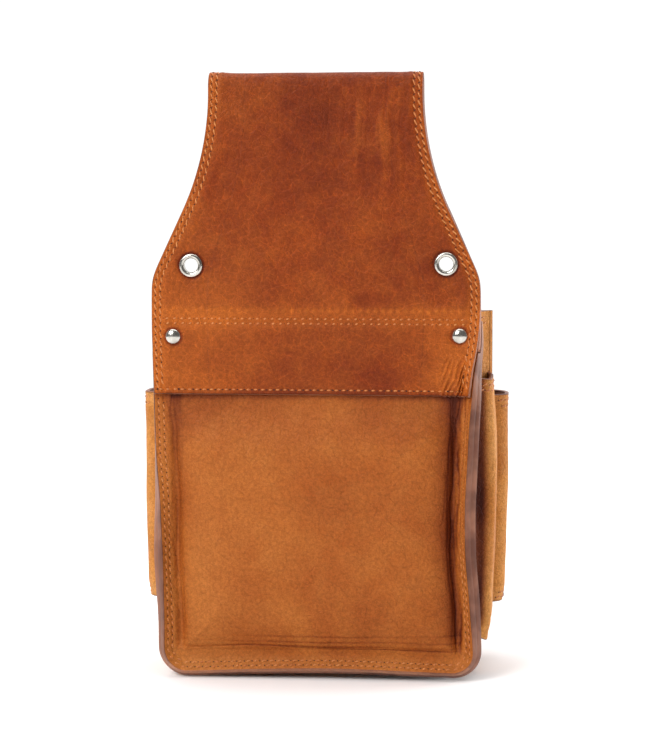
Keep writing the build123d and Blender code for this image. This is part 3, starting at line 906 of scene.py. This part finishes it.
def panel_tint(p, q, x, h, reach):
    """Painted shade in the valley, on the slope above it, in the creases and wrinkles of the flange and the
    base, and just below the yoke's lapped edge; painted light on the puff's left and middle, painted shade
    towards its right; darker and redder towards the top, paler on the flange and its edge.
    """
    wide, right = np.abs(p), p > 0
    side_reach = wide - ROOT
    # valley: painted shade in the valley beside the rim, deeper on the right.
    valley = bump(side_reach, -1.6, 3.4) * smooth(8, 22, q)
    creases = flange_creases(np.where(p < 0, -1.0, 1.0), side_reach, q)
    in_flange = bump(side_reach, 2.2, 6.2) * smooth(6, 14, q) * np.where(right, 1.0, 0.5)
    near_base = smooth(HALF - 3, HALF - 12, wide)
    tint = (
        0.3 * smooth(1, 4, reach) - valley * np.where(right, 0.66, 0.36)
        # Painted shade on the slope above the valley, deeper on the right.
        - 0.2 * bump(side_reach, -6, 5) * np.where(right, 1.0, 0.3) * smooth(8, 40, q)
        # Painted light on the puff's left and middle.
        + 0.35 * bump(x, -60, 17) * smooth(160, 70, h) + 0.2 * folds(x / 33, h / 30, 41)
        + 0.1 * bump(x, -8, 42) * bump(h, 112, 34)
        # Painted shadow just below the yoke's lapped edge, and painted shade towards the right.
        - 0.3 * smooth(4.5, 1.0, LAP - h) - 0.08 * smooth(35, 70, x)
        # Painted shade in the wrinkles above the base and in the creases of the flange and the base; the
        # flange and a band above the base are paler.
        - 0.16 * bump(h, 17, 8) * smooth(70, 60, np.abs(x))
        + in_flange * (0.2 - 0.62 * creases)
        + near_base * (0.14 * bump(q, RIM_LENGTH + 5, 7.0) - 0.5 * base_creases(p, q))
        - 0.12 * smooth(96, 140, h) - 0.16 * bump(x, -60, 20) * bump(h, 100, 45)
        + 0.5 * (q < 0.3)
    )
    return np.clip(tint, -0.8, 0.9)


def make_back_panel():
    wing = np.linspace(-HALF, -54, 92)
    p = np.concatenate([wing, np.linspace(-54, 54, 84)[1:-1], -wing[::-1]])
    q = np.concatenate([np.arange(0, 27, 0.42), np.linspace(27, PANEL_LENGTH, 125)])
    p, q = grid(p, q)
    points = panel_surface(p, q)
    reach = np.maximum(np.abs(p) - ROOT, RIM_LENGTH - q)
    tint = panel_tint(p, q, points[..., 0], points[..., 2], reach)
    thickness = LEATHER + RIM_SWELL * smooth(4.5, 7.5, reach)
    dyed = ("left", "right", "low")
    skin = leather_sheet("back_panel_skin", points, thickness, TAN, tint, edge=0.22, dyed=dyed)
    place(skin, "tan_leather", "pouch", "back_panel")


# --- The gusset ---

# The wall's cross-section from behind the rim to the flange behind the front panel: how far out
# from the back's outline, the depth, and how much of the rim's pull it feels. One section each
# for where the rim is fully turned, where it is flat, and for the base.
WALL_FRONT = [(4.6, 43.4, 0), (-6.5, 43.6, 0)]
WALL_TURNED = [(-0.6, -0.6, 1), (-0.9, 5, 0.75), (-1.4, 12, 0.4), (-1.5, 22, 0.15), (-1.6, 32, 0)]
WALL_TURNED += [(0.3, 38, 0)] + WALL_FRONT
WALL_FLAT = [(-8.6, 2.0, 1), (-8.4, 5, 0.75), (-6.6, 12, 0.4), (-4.2, 22, 0.15), (-2.4, 32, 0), (0.3, 38, 0)]
WALL_FLAT += WALL_FRONT
WALL_BASE = [(-4.7, 1.5, 1), (-4.7, 6, 0.75), (-4.6, 12, 0.4), (-4.4, 22, 0.15), (-4.2, 32, 0), (-3.4, 38, 0)]
WALL_BASE += [(-1.0, 43.4, 0), (-12.5, 43.6, 0)]
GUSSET_STEPS = 120
FULL_TURN = radians(46)
ARC_RADIUS = 12.0
SIDE_RUN = MOUTH - ROOT_BASE - ROOT_CORNER
CORNER_RUN = ARC_RADIUS * pi / 2
GUSSET_RUN = 2 * SIDE_RUN + 2 * CORNER_RUN + 2 * (ROOT - ROOT_CORNER)

FRONT = HIGH["front_panel"][1]
FRONT_HALF = HIGH["front_panel"][0] - 1.2
FRONT_CORNER = 34.0


def squeeze_corner(x, h, share):
    """Moves points of the narrow lower corners onto the front panel's wide ones, by a share of the way."""
    centre, power = FRONT_HALF + 1.2 - FRONT_CORNER, 5.4
    across, down = np.abs(x) - centre, 1 + FRONT_CORNER - h
    inside = (across > 0) & (down > 0)
    across, down = np.maximum(across, 1e-6), np.maximum(down, 1e-6)
    length = np.hypot(across, down)
    scale = ((across / length) ** power + (down / length) ** power) ** (1 / power)
    scale = 1 + (scale - 1) * share
    x_new = np.sign(x) * (centre + across * scale)
    return np.where(inside, x_new, x), np.where(inside, 1 + FRONT_CORNER - down * scale, h)


def section_weights():
    """How much each of the section's corners counts at each step along it, rounding the corners."""
    keys = walked(np.array([(0.2, -9.0), (-1.2, -4.5)] + [c[:2] for c in WALL_TURNED], float))
    steps = np.linspace(0, keys[-1], GUSSET_STEPS)
    weights = np.stack([np.interp(steps, keys, row) for row in np.eye(len(keys))], axis=-1)
    return eased(weights, 4, 1.8)


gusset_weights = section_weights()


def station(s):
    """A place along the root's U-shaped line, from the left mouth to the right.

    Returns its side, x, height, the outward direction, and how much it belongs to the base.
    """
    side = np.where(s > GUSSET_RUN / 2, 1.0, -1.0)
    d = np.minimum(s, GUSSET_RUN - s)
    turn = np.clip((d - SIDE_RUN) / ARC_RADIUS, 0, pi / 2)
    on_base = np.maximum(d - SIDE_RUN - CORNER_RUN, 0)
    x = ROOT - ROOT_CORNER + ROOT_CORNER * np.cos(turn) - on_base
    h = np.where(d < SIDE_RUN, MOUTH - d, ROOT_BASE + ROOT_CORNER - ROOT_CORNER * np.sin(turn))
    return side, x, h, np.cos(turn), -np.sin(turn), np.sin(turn) ** 2


def gusset_surface(s, t):
    """The gusset's grain face: s along its run, t from 0 at the rear edge to 100 at the front."""
    s, t = np.broadcast_arrays(np.asarray(s, float), np.asarray(t, float))
    side, x, h, out_x, out_h, based = station(s)
    angle = np.radians(by_height(RIM_TURN, side, h))
    turned = np.clip(angle / FULL_TURN, 0, 1)
    angle = angle + (BASE_TURN - angle) * based
    corners = []
    for reach in (RIM_LENGTH, RIM_BEND + 1):
        out, rise = rim_fold(np.full_like(s, reach), angle, -RIM_PLIES)
        corners.append((out, PANEL_FACE + RIM_PLIES - rise, 1.0))
    edge_out = RIM_LENGTH + (ROOT_BASE - RIM_LENGTH) * based
    for flat, full, base in zip(WALL_FLAT, WALL_TURNED, WALL_BASE):
        sides = [f + (g - f) * turned for f, g in zip(flat, full)]
        out, depth, pull = [f + (b - f) * based for f, b in zip(sides, base)]
        corners.append((edge_out + out, depth, pull))
    k = np.clip(t / 100, 0, 1) * (GUSSET_STEPS - 1)
    low = np.minimum(k.astype(int), GUSSET_STEPS - 2)
    part = (k - low)[..., None]
    weight = gusset_weights[low] * (1 - part) + gusset_weights[low + 1] * part
    out, y, pull = [sum(weight[..., i] * c for i, c in enumerate(column)) for column in zip(*corners)]
    free = smooth(24, 36, t) * smooth(84, 70, t)
    out = out + free * (0.9 * folds(s / 38, t / 30, 17) + 0.3 * folds(s / 11, t / 11, 19))
    x_out = side * (x + out_x * out)
    h_out = h + out_h * out + base_sag(x_out, based * smooth(60, 20, t))
    x_out, h_out = squeeze_corner(x_out, h_out, smooth(38, 84, t))
    # The mouth's edge dips behind the back's edge.
    h_out = h_out - 3.0 * smooth(52, 34, t) * smooth(24, 0, MOUTH - h) * (1 - based)
    return stack(x_out - pull * pulled_in(x, side, h), y, h_out)


def make_gusset():
    turn_start, turn_end = SIDE_RUN - 6, SIDE_RUN + CORNER_RUN + 6
    runs = ((0, turn_start, 1.5), (turn_start, turn_end, 0.7), (turn_end, GUSSET_RUN / 2 - 0.5, 1.8))
    s = np.concatenate([np.arange(*run) for run in runs])
    s, t = grid(np.concatenate([s, GUSSET_RUN - s[::-1]]), np.linspace(100, 0, 112))
    points = gusset_surface(s, t)
    h = points[..., 2]
    # Painted shade on the wall just behind the rim; paler towards the mouth.
    tint = 0.2 * folds(s / 30, t / 30, 27) - 0.5 * bump(t, 20, 7) + 0.25 * smooth(MOUTH - 12, MOUTH - 2, h)
    # crevice_shade: painted shade in the crevice between the rim and the pliers pocket.
    crevice_shade = smooth(160, 140, h) * smooth(60, 30, t) * smooth(GUSSET_RUN / 2, GUSSET_RUN / 2 + 60, s)
    tint = np.clip(tint - 0.8 * crevice_shade, -0.88, 0.8) + 0.5 * (t < 0.4)
    thickness = LEATHER + RIM_SWELL * smooth(9, 5, t)
    skin = leather_sheet("gusset_skin", points, thickness, PALE_AND_LIT, tint, edge=0.22, dyed=("high",))
    place(skin, "tan_leather", "pouch", "gusset")


# --- The front panel ---

FRONT_BASE = LOW["front_panel"][2]
FRONT_LENGTH = MOUTH - FRONT_BASE


def front_surface(p, q):
    """The front panel's grain face, with rounded lower corners, a little belly and a hem."""
    wide = np.abs(p)
    in_corner, big, turn = corner_turn(wide - (FRONT_HALF - FRONT_CORNER), FRONT_CORNER - q)
    x = np.sign(p) * np.where(in_corner, FRONT_HALF - FRONT_CORNER + big * np.cos(turn), wide)
    h = np.where(in_corner, FRONT_CORNER - big * np.sin(turn), q)
    edge, below = np.minimum(FRONT_HALF - wide, q), FRONT_LENGTH - q
    belly = (
        2.6 * smooth(4, 40, edge) * smooth(0, 40, below + 18) + 0.4 * folds(p / 34, q / 30, 51)
        - dents(edge, ROWS, 0.35) - dents(below, HEM_ROWS, 0.35) * smooth(3, 8, FRONT_HALF - wide)
    )
    dip = 1.6 * (1 - (p / FRONT_HALF) ** 2) * smooth(60, 0, below)
    return stack(x, FRONT + belly, FRONT_BASE + h - dip)


def make_front_panel():
    even = np.linspace(1, -1, 150)
    p = (even * 0.62 + np.sin(even * pi / 2) * 0.38) * (FRONT_HALF - 0.4)
    p, q = grid(p, np.linspace(0.4, FRONT_LENGTH - 0.4, 150))
    edge = np.minimum(FRONT_HALF - np.abs(p), q)
    tint = 0.3 * smooth(9, 2, edge) + 0.25 * smooth(9, 1, FRONT_LENGTH - q) + 0.2 * folds(p / 30, q / 27, 61)
    skin = leather_sheet("front_panel_skin", front_surface(p, q), LEATHER, TAN, np.clip(tint, -0.4, 0.8))
    place(skin, "tan_leather", "pouch", "front_panel")


# --- The second compartment ---

POCKET_HALF, POCKET_FRONT, _ = HIGH["front_pocket"]
POCKET_REAR, POCKET_BASE = LOW["front_pocket"][1:]
POCKET_HEIGHT = HIGH["front_pocket"][2] - POCKET_BASE
REAR_ROUND = 8.0
FRONT_ROUND = 17.0
POCKET_FLANGE = 16.0


def pocket_plan():
    """The outer face in plan from the right flange round to the left one: its walk and its points."""
    def arc(cx, cy, radius, start, end, count=16):
        turn = np.radians(np.linspace(start, end, count))
        return [(cx + radius * np.cos(t), cy + radius * np.sin(t)) for t in turn]

    right = [(POCKET_HALF - REAR_ROUND - POCKET_FLANGE, POCKET_REAR)]
    right += arc(POCKET_HALF - REAR_ROUND, POCKET_REAR + REAR_ROUND, REAR_ROUND, -90, 0)
    right += arc(POCKET_HALF - FRONT_ROUND, POCKET_FRONT - FRONT_ROUND, FRONT_ROUND, 0, 90)
    points = np.array(right + [(-x, y) for x, y in right[::-1]])
    return walked(points), points


POCKET_PLAN = pocket_plan()
POCKET_RUN = POCKET_PLAN[0][-1]


def pocket_surface(s, q):
    """The second compartment's grain face: s round its plan, q up from its base."""
    x, y = on_path(POCKET_PLAN, s)
    (x_after, y_after), (x_before, y_before) = on_path(POCKET_PLAN, s + 1.5), on_path(POCKET_PLAN, s - 1.5)
    length = np.maximum(np.hypot(x_after - x_before, y_after - y_before), 1e-6)
    out_x, out_y = (y_after - y_before) / length, (x_before - x_after) / length
    free = smooth(POCKET_FLANGE, POCKET_FLANGE + 14, np.minimum(s, POCKET_RUN - s))
    up = q / POCKET_HEIGHT
    puff = free * (
        0.9 * np.sin(pi * np.clip(up, 0, 1)) - 1.1 * smooth(10, 0, q) + 0.35 * smooth(0.8, 1.0, up)
        + 0.7 * folds(s / 30, q / 34, 71) + 0.25 * folds(s / 9, q / 14, 73)
    )
    puff = puff - dents(POCKET_HEIGHT - q, HEM_ROWS, 0.35) - dents(q, ROWS, 0.25)
    dip = 1.5 * bump(x, 0, 55) * smooth(0.6, 1.0, up) * smooth(55, 78, y)
    # The ends narrow downwards, the right one more.
    narrowing = np.where(x > 0, 1.1, 0.0) + np.where(x > 0, 1.3, 1.2) * (1 - up) ** 0.7
    taper = smooth(60, 92, np.abs(x)) * narrowing
    return stack(x + out_x * puff - np.sign(x) * taper, y + out_y * puff, POCKET_BASE + q - dip)


def make_pocket():
    end = np.arange(0, 60, 1.0)
    s = np.concatenate([end, np.linspace(60, POCKET_RUN - 60, 90), POCKET_RUN - end[::-1]])
    s, q = grid(s, np.linspace(0.3, POCKET_HEIGHT - 0.3, 90))
    tint = 0.3 * smooth(10, 2, POCKET_HEIGHT - q) + 0.3 * smooth(9, 2, q) + 0.22 * folds(s / 28, q / 25, 75)
    tint = np.clip(tint, -0.4, 0.8)
    skin = leather_sheet("second_compartment_skin", pocket_surface(s, q), THIN, POCKET, tint)
    place(skin, "tan_leather", "pouch", "front_pocket")


def make_pocket_floor():
    low, high = LOW["front_pocket_base"], HIGH["front_pocket_base"]
    half, rear, front = high[0] - 0.3, low[1] + 0.3, high[1] - 0.3
    a, b = grid(np.linspace(-1, 1, 80), np.linspace(-1, 1, 26))
    narrowed = np.where(np.abs(a) > 0.85, np.sqrt(1 - 0.25 * b**2), 1)
    x = a * half * (1 - (1 - narrowed) * smooth(0.8, 1, np.abs(a)))
    x = np.sign(a) * np.minimum(np.abs(x), half - 10 + 10 * np.sqrt(1 - 0.9 * np.abs(b) ** 3))
    y = (rear + front) / 2 + b * (front - rear) / 2
    sag = -0.4 * (1 - a**2) * (1 - b**2) + 0.1 * noise(x / 9, y / 8, 81)
    points = stack(x, y, low[2] + 0.2 + sag)[:, ::-1]
    skin = leather_sheet("second_compartment_floor", points, THIN, POCKET, -0.1, edge=0.3)
    place(skin, "tan_leather", "pouch", "front_pocket_base")


# --- Tool loops ---

LOOP_PITCH = 29.0
LOOP_COUNT = 5
LOOP_OUTER = 12.0
LOOP_BASE = LOW["tool_loops"][2]
LOOP_HEIGHT = HIGH["tool_loops"][2] - LOOP_BASE
LOOP_FACE = LOW["tool_loops"][1] + THIN
LOOP_STRIP = HIGH["tool_loops"][0]


def loop_plan():
    """The strip's outer face in plan, from right to left over its loops."""
    points = [(LOOP_STRIP, LOOP_FACE)]
    for i in range(LOOP_COUNT):
        centre = LOOP_PITCH * ((LOOP_COUNT - 1) / 2 - i)
        for turn in np.linspace(0, pi, 25):
            widen = LOOP_OUTER + 0.8 * abs(np.cos(turn)) ** 6
            proud = (LOOP_OUTER - THIN) * np.sin(turn) ** 0.8
            points.append((centre + widen * np.cos(turn), LOOP_FACE + proud))
    points.append((-LOOP_STRIP, LOOP_FACE))
    return smooth_path(points, pad=4)


LOOP_PLAN = loop_plan()


def loop_surface(s, q):
    """The tool loops' grain face: s along the strip, q up it."""
    x, y = on_path(LOOP_PLAN, s)
    proud = (y - LOOP_FACE) / (LOOP_OUTER - THIN)
    up = q / LOOP_HEIGHT
    y = y + proud * (0.5 * np.sin(pi * up) + 0.5 * smooth(0.75, 1.0, up) + 0.3 * folds(s / 14, q / 16, 91))
    lift = proud * (0.54 * smooth(0.7, 1, up) - 0.42 * smooth(0.3, 0, up))
    return stack(x, y, LOOP_BASE + q + lift)


def make_loops():
    s, q = grid(np.arange(0.3, LOOP_PLAN[0][-1] - 0.3, 0.8), np.linspace(0.3, LOOP_HEIGHT - 0.3, 56))
    points = loop_surface(s, q)
    proud = (points[..., 1] - LOOP_FACE) / LOOP_OUTER
    tint = 0.45 * smooth(0.5, 0.9, proud) - 0.25 * smooth(0.25, 0.0, proud) + 0.15 * folds(s / 20, q / 20, 93)
    skin = leather_sheet("tool_loops_skin", points, THIN, TAN, np.clip(tint, -0.4, 0.8))
    place(skin, "tan_leather", "pouch", "tool_loops")


# --- The pliers pocket on the right side ---

PLIERS_BASE = LOW["pliers_pocket"][2]
PLIERS_HEIGHT = HIGH["pliers_pocket"][2] - PLIERS_BASE
PLIERS_REAR = LOW["pliers_pocket"][1] - 1.0
PLIERS_DEPTH = HIGH["pliers_pocket"][1] - PLIERS_REAR
PLIERS_ROOT = LOW["pliers_pocket"][0] + 0.3
# How far out the pocket's crown reaches, judged at a few heights.
PLIERS_REACH = ((14, 84.2), (18, 86.6), (24, 87.8), (40, 88.4), (70, 89.4), (100, 90.0), (125, 89.5),
                (140, 88.4), (152, 87.6))


def pliers_surface(t, q):
    """The pliers pocket's grain face: t from 0 at its rear edge to 100 at its front, q up it."""
    up, part = np.clip(q / PLIERS_HEIGHT, 0, 1), np.clip(t / 100, 0, 1)
    arched = np.sin(pi * part)
    wall = PLIERS_ROOT + 5.6 * part
    rounded = smooth(0.08, 0.44, part) * smooth(1.03, 0.78, part)
    x = (
        wall + np.maximum(read_table(PLIERS_REACH, PLIERS_BASE + q, 6) - wall, 0) * rounded
        + arched * (0.35 * folds(part * 3, q / 24, 101) + 0.15 * folds(part * 9, q / 10, 103))
        - dents(PLIERS_HEIGHT - q, HEM_ROWS, 0.25)
    )
    forward = PLIERS_DEPTH * (0.5 - 0.5 * np.cos(pi * part * 0.96 + 0.04))
    y = PLIERS_REAR + forward - 3.2 * bump(part, 0.42, 0.12)
    dip = 2.2 * arched * smooth(0.8, 1, up)
    lift = 6.0 * smooth(0.12, 0.0, up) * (1 - arched)
    return stack(x, y, PLIERS_BASE + q - dip + lift)


def make_pliers_pocket():
    t, q = grid(np.linspace(0, 100, 76), np.linspace(0.3, PLIERS_HEIGHT - 0.3, 112))
    tint = 0.2 * smooth(9, 2, PLIERS_HEIGHT - q) + 0.2 * folds(t / 33, q / 25, 105)
    # Painted shade on the pocket's rear part, in the crevice beside the rim.
    tint = np.clip(tint - 0.93 * smooth(33, 19, t) * smooth(0, 14, q), -0.92, 0.8)
    skin = leather_sheet("pliers_pocket_skin", pliers_surface(t, q), THIN, POCKET, tint)
    place(skin, "tan_leather", "pouch", "pliers_pocket")


# --- Eyelets and rivets ---


def make_eyelets():
    """Rolled tubes through both leathers; the profile runs round the front and rear flanges."""
    bore = frame["record"]["mounts"][1]["dims"]["r_mm"]
    for side in SIDES:
        node = f"eyelet_{side}"
        x, h, radius = disc(node)
        rear, front = LOW[node][1] + 0.8, HIGH[node][1] - 0.8
        roll = (radius + bore) / 2
        profile = [
            (radius - 0.9, rear), (radius, rear - 0.02), (radius - 0.12, rear - 0.45),
            (radius - 0.6, rear - 0.85), (roll, rear - 1.05), (bore + 0.5, rear - 0.8),
            (bore + 0.1, rear - 0.3), (bore, rear + 0.6), (bore, front - 0.6), (bore + 0.1, front + 0.3),
            (bore + 0.5, front + 0.75), (roll, front + 0.9), (radius - 0.6, front + 0.75),
            (radius - 0.12, front + 0.4), (radius, front + 0.02), (radius - 0.9, front),
            (bore + 0.6, front - 0.2), (bore + 0.6, rear + 0.2), (radius - 0.9, rear),
        ]
        place(lathe(f"eyelet_ring_{side}", profile, (x, h), nickel), "nickel", "hanger", node)


def rivet_profile(radius, seat, crown, end, washer):
    """A domed cap on a seat, its post, and the small cap that closes it inside."""
    sign = 1 if crown > seat else -1
    high = abs(crown - seat)
    dome = [(radius * sin(a), seat + sign * high * cos(a) ** 1.15) for a in np.linspace(0, pi / 2 * 0.97, 9)]
    under = [(radius, seat + sign * 0.05), (radius - 0.1, seat - sign * 0.25), (1.5, seat - sign * 0.2)]
    tail = [(1.5, end), (washer, end), (washer - 0.1, end - sign * 0.5), (washer * 0.7, end - sign * 0.8)]
    return dome + under + tail + [(washer * 0.3, end - sign * 0.75), (0, end - sign * 0.55)]


def make_rivets():
    for side in SIDES:
        node = f"back_rivet_{side}"
        x, h, radius = disc(node)
        profile = rivet_profile(radius, BACK + 0.1, LOW[node][1] - 0.1, HIGH[node][1] - 0.8, 3.2)
        place(lathe(f"rivet_cap_{side}", profile, (x, h), nickel), "nickel", "pouch", node)
    low, high = LOW["loop_rivets"], HIGH["loop_rivets"]
    radius = 2.9
    profile = rivet_profile(radius, low[1], high[1], low[1] - THIN - 2.2, 2.4)
    spots = [(s * (high[0] - radius), h) for s in (-1, 1) for h in (low[2] + radius, high[2] - radius)]
    for i, spot in enumerate(spots):
        cap = lathe(f"loop_rivet_{i + 1}", profile, spot, nickel, 32)
        place(cap, "nickel", "pouch", *["loop_rivets"][i:])


# --- Seams ---


def line(start, end, count=400):
    return np.linspace(start, end, count)


def sewn(name, rows, body, *nodes):
    """Finishes a seam: its stitches, the body it rides on and the nodes it stands for."""
    place(stitching(name, rows), "thread", body, *nodes)


def u_row(half, top, reach):
    """A row down the left side of a flat cut, along its base at a reach, and up its right side."""
    q = line(top, reach)
    p = np.concatenate([np.full_like(q, -half), line(-half, half, 600), np.full_like(q, half)])
    return p, np.concatenate([q, np.full(600, reach), q[::-1]])


def swallowed(p, q):
    """The wrinkled flange on the right hides its stitches, apart from those near the corner."""
    return smooth(55, 70, p) * smooth(44, 70, q)


def make_back_seams():
    v = line(NECK_LENGTH - (TUNNEL_FLOOR - LEAF_END) - 4, 2.0, 1500)
    h = on_path(NECK_PATH, v)[1]
    lean = (half_width(h + 1) - half_width(h - 1)) / 2
    for side, s in SIDES.items():
        lines = [s * (half_width(h) - e * np.sqrt(1 + lean**2)) for e in ROWS]
        rows = [stitched_row(neck_surface, x, v, phase=0.5 * k) for k, x in enumerate(lines)]
        sewn(f"edge_seam_{side}", rows, "bend", f"neck_edge_stitching_{side}", f"yoke_edge_stitching_{side}")
    x = line(6.2 - HALF, HALF - 6.2)
    heights = [h - LAP for h in TUNNEL_ROWS[::-1]]
    rows = [stitched_row(neck_surface, x, v, style="tunnel", phase=0.1 * k) for k, v in enumerate(heights)]
    sewn("tunnel_seam", rows, "pouch", "tunnel_stitching")
    row = stitched_row(neck_surface, line(2 - HALF, HALF - 2), LAP_ROW - LAP, style="lap")
    sewn("lap_seam", [row], "pouch", "lap_stitching")


def make_rim_seam():
    rows = []
    for k, e in enumerate(ROWS):
        p, q = u_row(HALF - e, LAP - 3 - ROOT_BASE + RIM_LENGTH, e)
        rows.append(stitched_row(panel_surface, p, q, style="rim", phase=0.5 * k, sunk=swallowed))
    sewn("rim_seam", rows, "pouch", "rim_stitching")


def make_front_seams():
    rows = []
    for k, e in enumerate(ROWS):
        p, q = u_row(FRONT_HALF - e, FRONT_LENGTH - 8, e)
        rows.append(stitched_row(front_surface, p, q, side=-1, phase=0.5 * k))
    sewn("front_edge_seam", rows, "pouch", "front_edge_stitching")
    p, t = line(3 - FRONT_HALF, FRONT_HALF - 3), line(30, 74, 200)
    rows = []
    for k, e in enumerate(HEM_ROWS):
        rows.append(stitched_row(front_surface, p, FRONT_LENGTH - e, side=-1, phase=0.5 * k))
        for start in (e, GUSSET_RUN - e):
            rows.append(stitched_row(gusset_surface, start, t, side=-1, phase=0.5 * k))
    sewn("mouth_hem_seam", rows, "pouch", "mouth_hem_stitching")


def make_pocket_seams():
    s, t = line(POCKET_FLANGE + 4, POCKET_RUN - POCKET_FLANGE - 4, 900), line(8, 94, 300)
    heights = [POCKET_HEIGHT - e for e in HEM_ROWS] + list(ROWS)
    rows = [stitched_row(pocket_surface, s, q, phase=0.5 * (k % 2)) for k, q in enumerate(heights)]
    for k, e in enumerate(HEM_ROWS):
        rows.append(stitched_row(pliers_surface, t, PLIERS_HEIGHT - e, phase=0.5 * k))
    sewn("pocket_seams", rows, "pouch", "pocket_hem_stitching")
    rows = []
    walk, plan = LOOP_PLAN
    for i in range(LOOP_COUNT + 1):
        seam = (LOOP_PITCH * (i - LOOP_COUNT / 2), LOOP_FACE)
        flat = walk[np.argmin(np.linalg.norm(plan - seam, axis=1))]
        rows.append(stitched_row(loop_surface, flat, line(2.4, LOOP_HEIGHT - 2.4, 200)))
    sewn("loop_seams", rows, "pouch", "loop_stitching")


make_neck()
make_edge_strips()
make_back_panel()
make_gusset()
make_front_panel()
make_pocket()
make_pocket_floor()
make_loops()
make_pliers_pocket()
make_eyelets()
make_rivets()
make_back_seams()
make_rim_seam()
make_front_seams()
make_pocket_seams()


# --- Stage: floor, light and camera ---


def make_floor():
    drop, reach, back, steps = 0.0003, 1.6, 1.5, 24
    x, y = grid(np.linspace(-reach, reach, steps), np.linspace(-reach * 1.4, back, steps))
    z = np.full_like(x, min(cad_box[0].z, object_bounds()[0].z) - drop)
    faces = quads(np.arange(steps * steps).reshape(steps, steps)).reshape(-1, 4).tolist()
    mesh_object("floor", stack(x, y, z).reshape(-1, 3), faces, [floor_paint], [0] * len(faces))


def make_light(name, place, target, size, power):
    light = bpy.data.lights.new(name, "AREA")
    light.shape = "RECTANGLE"
    light.size, light.size_y = size
    light.energy = power
    lamp = bpy.data.objects.new(name, light)
    lamp.location = place
    lamp.rotation_euler = (Vector(target) - Vector(place)).to_track_quat("-Z", "Y").to_euler()
    bpy.context.scene.collection.objects.link(lamp)


def make_world(behind, before):
    """A white studio, brighter behind the pouch than on the camera's side."""
    world = bpy.data.worlds.new("studio")
    world.use_nodes = True
    tree = world.node_tree
    place = tree.nodes.new("ShaderNodeTexCoord")
    split = tree.nodes.new("ShaderNodeSeparateXYZ")
    ease = tree.nodes.new("ShaderNodeMapRange")
    ease.interpolation_type = "SMOOTHSTEP"
    for key, value in (("From Min", -0.35), ("From Max", 0.55), ("To Min", before), ("To Max", behind)):
        ease.inputs[key].default_value = value
    background = tree.nodes["Background"]
    background.inputs["Color"].default_value = (1, 1, 1, 1)
    tree.links.new(place.outputs["Generated"], split.inputs["Vector"])
    tree.links.new(split.outputs["Y"], ease.inputs["Value"])
    tree.links.new(ease.outputs["Result"], background.inputs["Strength"])
    bpy.context.scene.world = world


def make_camera():
    """The view of the back from a little to the right and above, at a long focal length."""
    azimuth, elevation, distance = radians(5.4), radians(5.0), 1.3
    frame_width = 0.325
    target = Vector((0.005, BACK / 1000, BASE_Z + 0.1533))
    to_camera = Vector((sin(azimuth) * cos(elevation), -cos(azimuth) * cos(elevation), sin(elevation)))
    data = bpy.data.cameras.new("camera")
    data.sensor_fit = "HORIZONTAL"
    data.sensor_width = 36.0
    data.lens = data.sensor_width * distance / frame_width
    camera = bpy.data.objects.new("camera", data)
    camera.location = target + to_camera * distance
    camera.rotation_euler = (-to_camera).to_track_quat("-Z", "Y").to_euler()
    bpy.context.scene.collection.objects.link(camera)
    bpy.context.scene.camera = camera


make_floor()
make_world(1.08, 0.2)
make_light("key", (-0.8, -1.3, 0.9), (0, 0, -0.1), (0.9, 0.9), 27)
make_light("left", (-1.75, 0.5, 0.2), (0, 0.03, -0.12), (0.9, 1.4), 5)
make_light("right", (1.7, 0.75, 0.2), (0, 0.03, -0.12), (0.9, 1.4), 25)
make_light("top", (0, 0.3, 2.2), (0, 0.1, -0.2), (2.5, 2.5), 42)
make_camera()
bpy.context.scene.view_settings.view_transform = "Standard"
bpy.context.scene.view_settings.look = "None"
